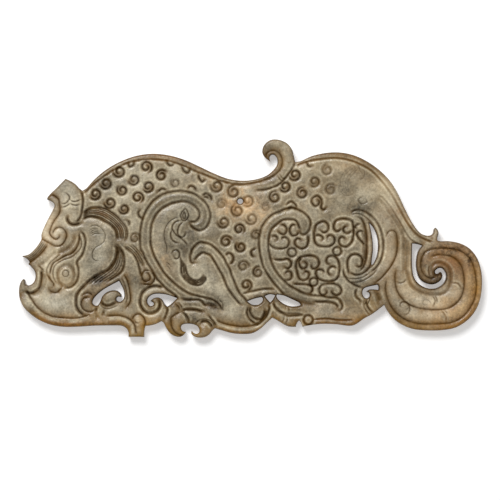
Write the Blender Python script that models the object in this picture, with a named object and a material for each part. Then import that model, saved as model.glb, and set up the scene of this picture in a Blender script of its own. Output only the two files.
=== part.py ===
"""Jade beast pendant: one flat slab of jade, cut to the outline of a crouching feline with a curled tail.

The animal faces -X and its back is towards +Y. The slab lies on its plain back on z = 0 with the
carved face up, and its origin is under the middle of it. Its free-form lines are points on one
drawing, x to the right and y downward, whose width is the pendant's length.
"""
import math

import bmesh
import bpy

LENGTH = 0.160
THICKNESS = 0.0056
BAND_RISE = 0.0004
HOLE_DIAMETER = 0.0019
GROOVE_WIDTH = 0.0008
GROOVE_CLEARANCE = 0.00016
CURL_DIAMETER = 0.0037
CURL_GROOVE_WIDTH = 0.0006

# The slab's face, from which the bands stand up.
FACE = THICKNESS - BAND_RISE
# A groove is cut by a square tube set on edge, so it is half as deep as it is wide. The tube's middle
# is lifted off the face until its top clears the bands, and a groove beside a band stays open.
GROOVE_LIFT = (BAND_RISE + GROOVE_CLEARANCE - GROOVE_WIDTH / 2) / 2
HOLE_SIDES = 24
HOLE = (240, 201.2)
SMOOTH_STEPS = 2

# The outline runs from the crest round by the chin, the feet and the tail. Runs meet at corners.
OUTLINE = {
    "crest_back": [
        (82, 190.6), (78.5, 187.9), (75.3, 184.4), (70.8, 181.2), (65.4, 178.7),
    ],
    "crest_front": [
        (65.4, 178.7), (60, 184.2), (55.1, 189.2), (50.9, 193.1), (47.2, 197.6), (47.2, 199.7),
    ],
    "nose": [
        (47.2, 199.7), (50.4, 200.9), (53.6, 203.2), (54.3, 206), (52.8, 209.9), (49.9, 215.2),
        (46.4, 221.9), (42.9, 229.6), (41.2, 235), (41.1, 239.5), (37.4, 245.6), (33.6, 250.1),
        (30.1, 253.3), (26.8, 255), (21.6, 256),
    ],
    "upper_lip": [
        (21.6, 256), (24.8, 257.5), (27.8, 259.6), (29.3, 262.2), (28.1, 263.9),
    ],
    "mouth": [
        (28.1, 263.9), (32, 267.6), (34.8, 272), (35.3, 277.4), (33.5, 282.2), (30, 284.9),
        (26.6, 285.2), (24.9, 283), (24.5, 280.4), (23.2, 279),
    ],
    "chin": [
        (23.2, 279), (21.3, 281), (19.3, 286), (18.8, 293.2), (20, 300), (23.4, 306.8), (29.4, 313.2),
        (39, 320), (50.9, 324.8), (64, 326.8), (79.1, 326.6), (95, 325.6), (112, 325.4), (121, 325.7),
        (126, 328.2), (128.2, 332), (128.4, 336.7),
    ],
    "tab_foot": [
        (128.4, 336.7), (143.9, 336.9),
    ],
    "tab_side": [
        (143.9, 336.9), (144, 331.5), (145, 325.9),
    ],
    "chest": [
        (145, 325.9), (150.5, 325.3), (155.8, 323.9), (161.3, 321.2),
    ],
    "front_claw": [
        (161.3, 321.2), (163.5, 322.8), (165.6, 327), (168.8, 332), (173.4, 335.5), (178.6, 336.8),
        (183, 335.5), (185.7, 331.8),
    ],
    "claw_gap": [
        (185.7, 331.8), (182.6, 331.2), (180.6, 328.2), (181.6, 325.2), (185, 323.8), (190.5, 323.8),
        (195.6, 325), (198.6, 327.8), (199.2, 331.3), (197, 333.8), (193.8, 333.3), (191.2, 330.9),
    ],
    "second_claw": [
        (191.2, 330.9), (191.2, 333.6), (194.2, 336.3), (199, 337.6), (204.6, 337), (209, 334.5),
        (212, 330.8), (214.8, 328.3),
    ],
    "belly": [
        (214.8, 328.3), (222, 330.4), (232, 333.1), (243, 334), (252.3, 333.1), (260, 328.8),
        (266.8, 322.6), (272, 317.7),
    ],
    "hind_foot": [
        (272, 317.7), (277, 320.2), (284, 324.6), (289.4, 326.6), (295.6, 326.8),
    ],
    "toe_notch": [
        (295.6, 326.8), (296.8, 322.8), (298.9, 320.6), (301, 322.8), (302.4, 326.6),
    ],
    "hind_heel": [
        (302.4, 326.6), (310, 325.1), (322, 323.8), (336, 324.2), (349, 325.8), (356, 324),
        (364, 318.4), (373, 313.4), (384.2, 304.7),
    ],
    "tail_coil": [
        (384.2, 304.7), (388, 311.8), (395, 320), (404, 325.8), (414, 329.2), (428, 330.4), (443, 330),
        (456, 327.2), (467.4, 320), (475.6, 310), (480.2, 298), (481.8, 284), (480.9, 270.5),
        (476.8, 257.8), (469, 248.2), (459, 243), (448, 241), (441, 241.2), (437.2, 240.3),
    ],
    "spur_back": [
        (437.2, 240.3), (437.2, 237.4), (438.3, 233.4), (437.6, 230), (435.3, 227.5),
    ],
    "rump": [
        (435.3, 227.5), (433.7, 229.8), (433.2, 232.8), (430.6, 235.2), (425.4, 235.3), (419, 232),
        (411.6, 222), (404.4, 208), (397.2, 192.6), (389.8, 180.8), (380, 170.6), (367.6, 161.7),
        (354, 155.3), (340, 152.4), (326, 152.8), (312, 155.9), (301, 160.8), (295, 162.1),
    ],
    "plume_back": [
        (295, 162.1), (293.7, 156.4), (291.8, 149.4), (286.8, 143.2), (279, 139.8), (271, 139.8),
        (264.8, 143.9), (262.1, 150.4), (264, 156.2), (270, 161.4),
    ],
    "plume_hook": [
        (270, 161.4), (269.3, 157.4), (271.2, 154.6), (274.4, 155), (277, 158.6), (277, 164),
        (273.6, 169.6), (266, 175.7), (255, 179.4), (242, 180.6), (228, 178.7), (214, 173.4),
        (199, 166.3), (184, 159.6), (168, 155.1), (151, 153.7), (134, 156.3), (118, 162.5),
        (104.8, 170.4), (93.8, 179.8), (86.6, 187.8), (82, 190.6),
    ],
}
OPENINGS = {
    "mouth_gap": [
        [
            (118.8, 280.7), (122.4, 287.2), (124.2, 293.6), (123.4, 298.8), (119.6, 301.8),
            (116.4, 300.6), (116.3, 297.8), (118.6, 296.5),
        ],
        [
            (118.6, 296.5), (120.9, 297),
        ],
        [
            (120.9, 297), (121, 294.6), (117.6, 291.2), (112.6, 290.2), (106.6, 292.1), (102.2, 296.2),
            (100, 301.4), (97.2, 305.4), (93.8, 305), (92, 302), (94.6, 296.8), (102, 290.2),
            (110.4, 285.2), (118.8, 280.7),
        ],
    ],
    "chest_scroll": [
        [
            (177, 298.1), (168.6, 295.1), (160.6, 293.7), (152.6, 294.3), (147.8, 298), (147, 302.4),
            (149.6, 305.9), (153, 305.2), (153.4, 302.8), (150.2, 300.9),
        ],
        [
            (150.2, 300.9), (153.4, 298.2), (158, 297.5), (162, 299.8), (164.4, 304), (167, 306.6),
        ],
        [
            (167, 306.6), (171, 303.8), (177, 298.1),
        ],
    ],
    "toe_gap": [
        [
            (247.2, 301.2), (254, 298.6), (261, 297),
        ],
        [
            (261, 297), (262.8, 298.6), (261.8, 302), (258, 304.6), (252.6, 304.8), (249.2, 303),
            (247.2, 301.2),
        ],
    ],
    "heel_gap": [
        [
            (264.7, 296), (269.8, 294.1), (275, 295.2),
        ],
        [
            (275, 295.2), (272.8, 299.4), (270.1, 302.3),
        ],
        [
            (270.1, 302.3), (267, 299.2), (264.7, 296),
        ],
    ],
    "leg_gap": [
        [
            (277, 294.4), (284, 295.6), (292, 299.2), (298, 302),
        ],
        [
            (298, 302), (300.5, 304.6), (298, 306), (291, 306.4), (284.4, 304.2), (279, 300.4),
            (276.3, 296.4), (277, 294.4),
        ],
    ],
    "haunch_slit": [
        [
            (369, 222.6), (373.4, 227.6), (376.8, 235.6), (378, 245), (377, 255.2), (373.4, 263.8),
            (371.2, 264.4),
        ],
        [
            (371.2, 264.4), (371.8, 258), (372.8, 249), (372, 237), (369, 222.6),
        ],
    ],
    "heel_scroll": [
        [
            (377.4, 284.6), (378.6, 287.2), (378.2, 289.9),
        ],
        [
            (378.2, 289.9), (374, 289.4), (369.6, 289.5), (366.2, 291.8),
        ],
        [
            (366.2, 291.8), (369, 292.8), (369.6, 296), (367, 298.3), (363.8, 297), (362.2, 292.8),
            (363.4, 288.8), (367.4, 286.8), (377.4, 284.6),
        ],
    ],
    "tail_slit": [
        [
            (412, 243.4), (416.8, 243.9), (422.2, 245.5),
        ],
        [
            (422.2, 245.5), (418.2, 251.2), (416.2, 260), (416.4, 269.4), (419.4, 278.4), (425.4, 283),
            (432.4, 284.3), (438.6, 281.8), (442, 277.2), (441.7, 273.4), (440.2, 271.8),
        ],
        [
            (440.2, 271.8), (437.6, 273.7), (435, 273), (435.2, 270.4), (438.6, 268), (442.6, 268.6),
            (445.7, 273), (445.7, 279.4), (442, 285), (434.8, 288.5), (426.6, 287.9), (418.8, 283.8),
            (413.8, 277.2), (412, 268), (411.7, 256), (412, 243.4),
        ],
    ],
}
RIM = {
    "front_back": [
        (82.9, 194), (88.7, 188.6), (101.5, 178.3), (120.4, 166), (143.5, 159.8), (169.1, 160.9),
        (194.7, 170.6), (215.6, 179), (241.3, 184.3), (262, 181.5), (277, 173.2), (282.3, 162.5),
        (279.5, 153.4), (273, 150.2), (266.5, 154.5),
    ],
    "rump": [
        (296.2, 165.4), (312, 160.2), (332.7, 157.8), (350.6, 160.5), (370.1, 169.6), (387.4, 188.5),
        (400, 210), (411.5, 229), (421, 237.4), (431, 241.4),
    ],
    "jaw": [
        (24, 290.6), (29.7, 301.5), (40.6, 313.7), (53.5, 319.3), (72, 320.9), (89.4, 317.6),
    ],
    "plume": [(256, 190), (268, 188.6), (279, 184), (287, 175.4), (294.8, 163.5)],
    "belly": [
        (216, 322.9), (228, 327), (243.7, 329.2), (256, 327), (266.2, 318.8), (269.6, 309.6),
    ],
}
HEAD = {
    "crest": [
        (81, 191.2), (82.8, 200.8), (81.3, 213.6), (77.6, 221.8), (71.5, 224), (67.6, 216.8),
    ],
    "nose_bridge": [
        (53.5, 195.6), (58.6, 199.7), (59.6, 209.7), (54.1, 220.6), (50, 232), (53.8, 238.6),
        (59, 236.4),
    ],
    "nose_scroll": [
        (52.5, 234.1), (56, 228.2), (62, 228), (66.2, 234.5), (63.6, 242.4), (56, 246), (46.4, 241.2),
    ],
    "lip": [(41.3, 270.1), (41, 281), (36.2, 290.4), (24.6, 291.3)],
    "brow": [
        (79.1, 232.8), (78.2, 244), (71.4, 253.3), (59.2, 259.1), (50.9, 268), (49.4, 277),
        (53.7, 285), (62, 288), (72, 286.4), (77.4, 279), (76.5, 262.8), (82.3, 254), (85.2, 241.5),
        (81, 231.5),
    ],
    "eye": [
        (75, 275.5), (72.4, 282.8), (66, 286), (59.6, 282.8), (57, 275.5), (59.6, 268.2), (66, 265),
        (72.4, 268.2), (75, 275.5),
    ],
    "mane_outer": [
        (82.9, 213), (90.6, 207.9), (100.3, 207.5), (111.3, 212), (119.7, 219.4), (126, 228.4),
        (125.8, 239.7),
    ],
    "mane_inner": [
        (82.9, 219.5), (90.6, 216.6), (99.6, 218.4), (109.3, 223.8), (115.6, 231), (117.2, 239.2),
    ],
    "cheek_mane": [
        (115.9, 245.1), (116.5, 254.7), (111.5, 266), (101.5, 272.9), (88.7, 281), (79.7, 290),
        (75.9, 300.3), (79.1, 311.2),
    ],
    "cheek_lock": [(117.8, 245.3), (123.6, 256), (123.6, 265.8), (117.8, 274.6)],
    "jaw_roundel": [
        (92.6, 295.8), (87.4, 293), (81.6, 296.4), (80.4, 303.4), (84.4, 310), (91.3, 311.6),
    ],
    "jaw_strap": [(124.6, 275.8), (129, 286.2), (130.4, 297.7), (126.2, 307)],
    "tooth": [(100.9, 301.8), (106.7, 306.6), (113, 305), (116.6, 302.4)],
}
CHEST = {
    "strand": [(124.9, 247.1), (133.2, 254.1), (138.3, 264.4), (140.9, 274.6)],
    "scroll": [
        (162.7, 287.4), (152.4, 286.2), (142.6, 292.2), (139.9, 302.4), (144.4, 310.8), (153.2, 312.2),
        (159.4, 306), (158.2, 299.8),
    ],
    "scroll_edge": [(166.5, 307.2), (167.2, 311.5), (164, 319)],
    "tab_curl": [(134.6, 321.4), (132.8, 317.4), (139.2, 314.2), (144.6, 319.3), (143.6, 326)],
}
FEET = {
    "front_paw": [(182.1, 310.9), (190.8, 309.1), (202.6, 311.7)],
    "front_toe": [(180.5, 311.9), (171.6, 317.4), (171.5, 326), (176.2, 333)],
    "second_toe": [(196.4, 323.4), (199.6, 320.2), (205.4, 319.2), (210.6, 321.4), (214, 326.6)],
    "knuckle": [(175.4, 303.7), (179, 307.6), (184.6, 311.6), (187.9, 320.8)],
    "pad": [
        (248.6, 306.4), (247, 312.5), (250.4, 319.4), (255.8, 323.3), (262.6, 320.8), (267.6, 313.6),
        (268.7, 305.6),
    ],
    "hind_toe": [(273.1, 302.3), (277.4, 310), (284.6, 314.3), (295.6, 315.1), (304.2, 314.6)],
    "heel": [(366, 300), (367, 305.6), (372.5, 312.2)],
}
HIND = {
    "hip_leaf": [
        (387.3, 234), (392.4, 229.2), (397.4, 236), (397, 252), (390.6, 266), (381, 277.5),
        (375.5, 281.5),
    ],
    "hip_seam": [
        (380.5, 197.6), (389.5, 209), (399.5, 224), (403.9, 238), (403.9, 262), (406.6, 277),
        (417, 289), (433, 293.8), (446.8, 289.4), (450.8, 276), (447.4, 265), (438, 261.4), (431, 267),
        (430.8, 272),
    ],
    "slit_left": [(359.6, 216), (366, 226), (367, 242), (365.8, 260), (361, 269.5)],
    "slit_right": [
        (351.5, 212), (361, 209.8), (372, 216.5), (380.8, 231), (382.9, 245), (380.4, 259.4),
        (371.5, 271.5),
    ],
    "slit_foot": [(341.6, 270), (345, 279), (353, 285), (361, 287.8)],
    "slit_folds": [(344, 275), (352.5, 278.8), (363, 276.8), (370, 271.6)],
    "tail_middle": [
        (395.6, 270.5), (395.2, 284), (401.5, 298), (416, 307.2), (435, 309.6), (452, 306), (462, 294),
        (463.5, 275), (457.5, 260.8), (444, 254.8), (431.8, 256.4),
    ],
    "tail_outer": [
        (386.2, 280), (386.2, 294.5), (392, 308), (403, 318.2), (419, 323.4), (441, 323.4), (459, 319),
        (470.5, 306.5), (476, 289), (474.3, 270), (466.5, 255), (451, 248.6), (432, 248.8),
        (421.8, 257), (421.6, 270.5), (430, 278), (434, 277.2),
    ],
}
SCROLLS = [
    [
        (280.1, 224.4), (283.3, 224.7), (286.2, 227.6), (286.2, 231.4), (284, 234), (280.8, 233.7),
        (278.2, 231.4),
    ],
    [
        (296.2, 225.3), (292.9, 224.4), (290.1, 226.9), (289.4, 230.8), (291, 234.6), (294.2, 235.6),
        (297.4, 234), (297.8, 231.4),
    ],
    [(271.4, 237.2), (273.3, 235.6), (276.3, 236.5), (277.3, 238.8), (276.2, 240.4)],
    [
        (269.2, 242.3), (270.8, 245.5), (275.3, 247.8), (281.7, 248.4), (286.8, 246.8), (288.7, 242.9),
        (288.1, 239.1), (284.9, 236.9), (281.7, 237.8), (281.3, 239.4),
    ],
    [
        (301.3, 240.1), (297.4, 238.1), (294.5, 241.7), (296.2, 246), (301, 248.5), (306, 246.5),
        (308, 241), (307.5, 235),
    ],
    [
        (320.5, 230.4), (323.1, 232.4), (326.3, 231.4), (328.2, 228.2), (327.2, 223.7), (323.7, 221.2),
        (319.2, 222.4), (315.4, 225.6), (314.1, 230.8), (313.8, 236.5), (314.7, 241.7), (317.3, 244.9),
        (322.4, 246.2), (328.2, 246.2), (332.7, 244.2), (334.6, 240.4), (333.3, 236.5), (330.1, 234.9),
        (327.2, 236.5), (326.9, 238.8),
    ],
    [(321.5, 240.4), (322.8, 237.8), (320.5, 235.3), (317.3, 234.9), (315.1, 236.5)],
    [
        (341, 227.6), (339.1, 230.4), (335.9, 230.8), (333.7, 228.2), (333.7, 224.4), (335.9, 220.5),
        (341, 218.6), (347.4, 218.9), (351.9, 221.2), (352.9, 225.6), (353.5, 231.4), (352.6, 238.5),
        (350.6, 242.9), (346.8, 246.2), (342.3, 246.2), (339.1, 243.6), (338.5, 239.7), (340.4, 237.2),
        (342.9, 236.9), (345.5, 239.4),
    ],
    [(346.8, 226), (344.2, 226.9), (342.9, 229.5), (344.9, 232.4), (348.7, 232.7), (351.6, 230.1)],
    [
        (273.3, 259), (281.4, 259.6), (287.2, 258.6), (290.7, 261.5), (290.7, 265.4), (287.8, 268.3),
        (284, 267),
    ],
    [
        (284.9, 273.7), (286.5, 271.5), (289.7, 271.2), (291.3, 274), (291, 277.6), (288.5, 279.8),
        (284.6, 279.5),
    ],
    [
        (310.3, 264.1), (311.5, 267.3), (314.1, 268.6), (317.3, 266.7), (318.9, 263.5), (317.9, 259),
        (314.7, 256.4), (310.3, 255.4), (305.1, 255.8), (300, 257.1), (296.8, 260.3), (295.8, 265.4),
        (296.8, 271.2), (298.1, 276.3), (300.6, 279.5), (304.5, 280.1), (307.7, 278.2), (309, 274.4),
        (307.7, 271.8), (305.1, 271.2), (303.5, 272.8),
    ],
    [
        (301.9, 257.7), (299, 260.9), (299, 262.8), (300, 266.7), (302.6, 268.6), (305.8, 267.3),
        (306.7, 264.1), (304.5, 261.5), (302.6, 261.9),
    ],
    [
        (331, 264.4), (327.5, 263.5), (326, 260.5), (327.5, 257), (331.5, 255.5), (336, 257.5),
        (338.5, 262), (339.2, 268), (339, 273), (337.5, 277), (334.5, 280), (329, 281), (323, 280.5),
        (318.5, 278.5), (315.7, 274.5), (316.3, 270.5), (319.5, 269.2), (323, 270.5), (324, 273),
    ],
    [(331.5, 275.5), (328.5, 273.5), (327.5, 270.5), (329.5, 267.5), (333.5, 266.3), (337, 268.5)],
    [(293, 284), (303, 283.8), (308.5, 284.8), (312, 287.5), (311.8, 291), (309.2, 293.4)],
    [
        (325.5, 290), (326.3, 292.4), (324.5, 294.6), (321, 294.5), (319, 291.5), (319.5, 287),
        (323, 284.2), (328, 283.4), (334, 283.6), (338.5, 285.5), (341, 289), (340.5, 292.5),
        (337.5, 295), (334, 294.5), (331.5, 292), (332.5, 290),
    ],
    [
        (348.8, 273.6), (347.4, 267), (347.4, 260.5), (350, 255.8), (354.8, 254), (359.4, 255.4),
        (362, 259.4), (361.8, 264), (359, 266.6), (356, 264.8),
    ],
    [(356.5, 229), (355, 226.5), (357, 224.3), (360.5, 224)],
    [
        (363.5, 232.5), (361, 230.8), (358, 231.5), (356.5, 234.5), (358.5, 238), (362, 242),
        (364.5, 245.5),
    ],
]

# Each raised band is one closed loop: its outer edge, then its inner edge back again.
BANDS = {
    "shoulder": [
        (221.5, 309.4), (219.4, 304.6), (214.4, 300.4), (205, 297.4), (191, 294), (180.5, 288),
        (168.5, 277.8), (158.6, 264), (152, 249.4), (150.2, 234), (153, 220.2), (160.6, 209.4),
        (172, 203), (184, 201.1), (194, 205.2), (199, 212.4), (197.6, 219), (190.4, 222.4),
        (192.6, 227.4), (199.6, 230.2), (206.8, 226),
        (210.2, 216), (207.4, 206), (200, 197.8), (190, 192.4), (178, 190.9), (165, 193.4), (153, 201),
        (144.6, 213.2), (140.4, 229), (140.6, 246.6), (147, 262.4), (156.4, 278), (168, 290.2), (178, 297),
        (188.2, 299.8), (199.5, 299.9), (209, 305.2), (216, 309.6),
    ],
    "foreleg": [
        (190.2, 256.4), (193.2, 247.6), (201, 242.3), (211, 244.8), (219.6, 252.6), (226.6, 263.6),
        (232, 276), (238, 290), (243.8, 297.6), (246, 301.4), (240.6, 303.6), (234.8, 298), (227.4, 287.4),
        (220.6, 272), (213.6, 259.8), (206, 253.3), (198.6, 254.9), (194, 261), (191, 261.6),
    ],
    "haunch": [
        (299.9, 230.8), (304, 234.2), (308.8, 230), (310.4, 221.8), (304.4, 213), (292.4, 207.4), (280, 211),
        (268.6, 217.4), (261.4, 227.2), (258.9, 242), (261, 259.4), (267.8, 275), (278.6, 288.6),
        (288, 295.8), (300.2, 300.2), (316, 302.3), (332, 302.5), (337.4, 308.4), (341.8, 305.8),
        (338.6, 299.2), (327, 296.9), (306, 293.6), (289.7, 285.6), (277.2, 273.1), (269.4, 254.6),
        (268.2, 241.4), (273, 227.2), (282.4, 220), (293.2, 219.6), (298.4, 225.2),
    ],
}
# Whole curls of the coat: the middle of each, and where its groove starts, in degrees.
CURLS = [
    (95.3, 193.8, 215), (105.8, 183.8, 215), (118.9, 171.3, 190), (133.8, 179.6, 195), (121.9, 190, 150),
    (146.3, 166.6, 300), (161.3, 175.2, 40), (148.2, 186.4, 215), (137.7, 197, 320), (110, 202.8, 200),
    (124, 208.8, 195), (175.2, 182.4, 115), (216.6, 186, 170), (233.6, 191.7, 75), (221.8, 204, 0),
    (247.7, 200.8, 240), (237.2, 210.4, 140), (223.4, 222.5, 180), (250.9, 218.7, 190), (239.2, 228.9, 310),
    (265.4, 207.4, 20), (274.6, 197, 100), (284.8, 186.4, 205), (226, 241.2, 20), (240.6, 246.6, 130),
    (243, 266, 30), (257.6, 272, 70), (246.3, 284.8, 270), (294.8, 174.7, 205), (314.3, 181.4, 215),
    (302.1, 192.4, 85), (330.6, 189, 35), (326.8, 169.8, 95), (134.8, 237.6, 20), (255.6, 234.4, 45),
]
CURL_TURNS = 1.25
CURL_POINTS = 11
CURL_CORE = 0.3
RINGS = [(291.7, 252.2, 4.4), (336.9, 251, 4.2), (313.5, 281.7, 4), (308, 319.7, 4.6)]
RING_SIDES = 10
FLAT_ANGLE = math.radians(0.1)


def clear_scene():
    for obj in list(bpy.data.objects):
        bpy.data.objects.remove(obj, do_unlink=True)


def new_collection(name):
    collection = bpy.data.collections.new(name)
    bpy.context.scene.collection.children.link(collection)
    return collection


def between(before, start, end, after, t):
    """Where a Catmull-Rom curve is at share t of the way from start to end, along one axis."""
    bend = 2 * before - 5 * start + 4 * end - after
    twist = 3 * start - before - 3 * end + after
    return (2 * start + (end - before) * t + bend * t**2 + twist * t**3) / 2


def smooth(points):
    """Points along a Catmull-Rom curve through these, which keeps both ends."""
    padded = [points[0], *points, points[-1]]
    made = []
    for corners in zip(padded, padded[1:], padded[2:], padded[3:]):
        for step in range(SMOOTH_STEPS):
            made.append(tuple(between(*along, step / SMOOTH_STEPS) for along in zip(*corners)))
    return [*made, points[-1]]


def drawing_box():
    points = [point for run in OUTLINE.values() for point in smooth(run)]
    xs, ys = zip(*points)
    return min(xs), max(xs), min(ys), max(ys)


LEFT, RIGHT, TOP, BOTTOM = drawing_box()
SCALE = LENGTH / (RIGHT - LEFT)


def place(point):
    """A point of the drawing in metres, from the middle of the pendant."""
    return (point[0] - (LEFT + RIGHT) / 2) * SCALE, ((TOP + BOTTOM) / 2 - point[1]) * SCALE


def joined(runs):
    """One closed loop from runs that meet at corners."""
    return [point for run in runs for point in smooth(run)[:-1]]


def curl(x, y, start):
    """A groove that winds in round the curl's middle, as drawing points."""
    radius = CURL_DIAMETER / 2 / SCALE
    made = []
    for step in range(CURL_POINTS):
        share = step / (CURL_POINTS - 1)
        angle = math.radians(start + 360 * CURL_TURNS * share)
        reach = radius * (1 - (1 - CURL_CORE) * share)
        made.append((x + reach * math.cos(angle), y - reach * math.sin(angle)))
    return made


def ring(x, y, radius):
    turns = [2 * math.pi * side / RING_SIDES for side in range(RING_SIDES)]
    return [(x + radius * math.cos(turn), y + radius * math.sin(turn)) for turn in turns]


def curve_object(name, loops, height, closed, **settings):
    """A curve object with one spline for each list of drawing points."""
    curve = bpy.data.curves.new(name, "CURVE")
    for setting, value in settings.items():
        setattr(curve, setting, value)
    for loop in loops:
        spline = curve.splines.new("POLY")
        spline.points.add(len(loop) - 1)
        for spot, point in zip(spline.points, loop):
            spot.co = (*place(point), 0, 1)
        spline.use_cyclic_u = closed
    obj = bpy.data.objects.new(name, curve)
    obj.location.z = height
    return obj


def as_mesh(obj, collection):
    """A mesh object in place of this curve, with its caps welded on."""
    bpy.context.scene.collection.objects.link(obj)
    graph = bpy.context.evaluated_depsgraph_get()
    mesh = bpy.data.meshes.new_from_object(obj.evaluated_get(graph))
    name, place_in_world = obj.name, obj.matrix_world.copy()
    bpy.data.objects.remove(obj, do_unlink=True)
    work = bmesh.new()
    work.from_mesh(mesh)
    bmesh.ops.remove_doubles(work, verts=work.verts, dist=1e-6)
    bmesh.ops.recalc_face_normals(work, faces=work.faces)
    work.to_mesh(mesh)
    work.free()
    made = bpy.data.objects.new(name, mesh)
    made.matrix_world = place_in_world
    collection.objects.link(made)
    return made


def plate(name, loops, bottom, top, collection):
    """A flat plate between two heights."""
    shape = curve_object(
        name, loops, (bottom + top) / 2, True, dimensions="2D", fill_mode="BOTH", extrude=(top - bottom) / 2
    )
    made = as_mesh(shape, collection)
    work = bmesh.new()
    work.from_mesh(made.data)
    bmesh.ops.dissolve_limit(work, angle_limit=FLAT_ANGLE, verts=work.verts, edges=work.edges)
    work.to_mesh(made.data)
    work.free()
    return made


def groove_cutter(name, lines, rings, curls, collection):
    """Tubes of square section set on edge, whose lower halves cut V grooves."""
    reach = GROOVE_WIDTH / 2 + GROOVE_LIFT
    shape = curve_object(
        name, [*lines, *curls, *rings], FACE + GROOVE_LIFT, False, dimensions="3D",
        twist_mode="Z_UP", bevel_depth=reach, bevel_resolution=0, use_fill_caps=True,
    )
    splines = list(shape.data.splines)
    for spline in splines[len(lines):len(lines) + len(curls)]:
        for spot in spline.points:
            spot.radius = (CURL_GROOVE_WIDTH / 2 + GROOVE_LIFT) / reach
    for spline in splines[len(lines) + len(curls):]:
        spline.use_cyclic_u = True
    return as_mesh(shape, collection)


def boolean(target, other, operation):
    modifier = target.modifiers.new(other.name, "BOOLEAN")
    modifier.operation = operation
    modifier.object = other
    modifier.solver = "EXACT"
    modifier.use_self = True
    other.hide_render = True
    other.display_type = "WIRE"


def jade():
    material = bpy.data.materials.new("jade")
    material.use_nodes = True
    shader = material.node_tree.nodes["Principled BSDF"]
    shader.inputs["Base Color"].default_value = (0.42, 0.39, 0.29, 1)
    shader.inputs["Roughness"].default_value = 0.35
    shader.inputs["Metallic"].default_value = 0
    return material


def hole_cutter(collection):
    x, y = place(HOLE)
    bpy.ops.mesh.primitive_cylinder_add(
        vertices=HOLE_SIDES, radius=HOLE_DIAMETER / 2, depth=2 * THICKNESS, location=(x, y, THICKNESS / 2)
    )
    cutter = bpy.context.object
    cutter.name = "suspension_hole"
    for owner in list(cutter.users_collection):
        owner.objects.unlink(cutter)
    collection.objects.link(cutter)
    return cutter


def merge_flats(slab):
    modifier = slab.modifiers.new("merged_flats", "DECIMATE")
    modifier.decimate_type = "DISSOLVE"
    modifier.angle_limit = FLAT_ANGLE


def build():
    clear_scene()
    parts = new_collection("jade_beast_pendant")
    cutters = new_collection("cutters")
    loops = [joined(OUTLINE.values())] + [joined(runs) for runs in OPENINGS.values()]
    slab = plate("jade_beast", loops, 0, FACE, parts)
    slab.data.materials.append(jade())
    boolean(slab, hole_cutter(cutters), "DIFFERENCE")
    for name, run in BANDS.items():
        boolean(slab, plate(name + "_band", [run], FACE / 2, THICKNESS, cutters), "UNION")
    lines = [run for group in (RIM, HEAD, CHEST, FEET, HIND) for run in group.values()] + SCROLLS
    cutter = groove_cutter(
        "grooves", lines, [ring(*spot) for spot in RINGS], [curl(*spot) for spot in CURLS], cutters)
    boolean(slab, cutter, "DIFFERENCE")
    merge_flats(slab)


build()
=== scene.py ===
import math

import bpy
import numpy as np
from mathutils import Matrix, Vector
from mathutils.geometry import delaunay_2d_cdt
from mathutils.kdtree import KDTree


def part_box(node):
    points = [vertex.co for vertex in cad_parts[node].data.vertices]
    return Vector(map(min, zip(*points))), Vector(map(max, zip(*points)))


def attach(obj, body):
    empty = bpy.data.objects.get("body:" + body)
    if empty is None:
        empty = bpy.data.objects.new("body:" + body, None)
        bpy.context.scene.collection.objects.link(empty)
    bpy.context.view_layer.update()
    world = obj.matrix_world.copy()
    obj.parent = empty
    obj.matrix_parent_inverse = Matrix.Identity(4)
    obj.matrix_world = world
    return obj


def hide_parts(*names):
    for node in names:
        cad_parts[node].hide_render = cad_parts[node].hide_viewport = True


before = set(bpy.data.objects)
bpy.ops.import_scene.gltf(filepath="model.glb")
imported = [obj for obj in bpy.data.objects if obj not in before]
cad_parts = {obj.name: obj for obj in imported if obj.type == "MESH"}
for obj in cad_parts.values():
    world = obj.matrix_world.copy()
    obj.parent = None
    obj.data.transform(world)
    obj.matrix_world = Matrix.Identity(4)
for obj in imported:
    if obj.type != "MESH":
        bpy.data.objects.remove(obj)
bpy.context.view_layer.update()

pendantNode = "jade_beast"

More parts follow.
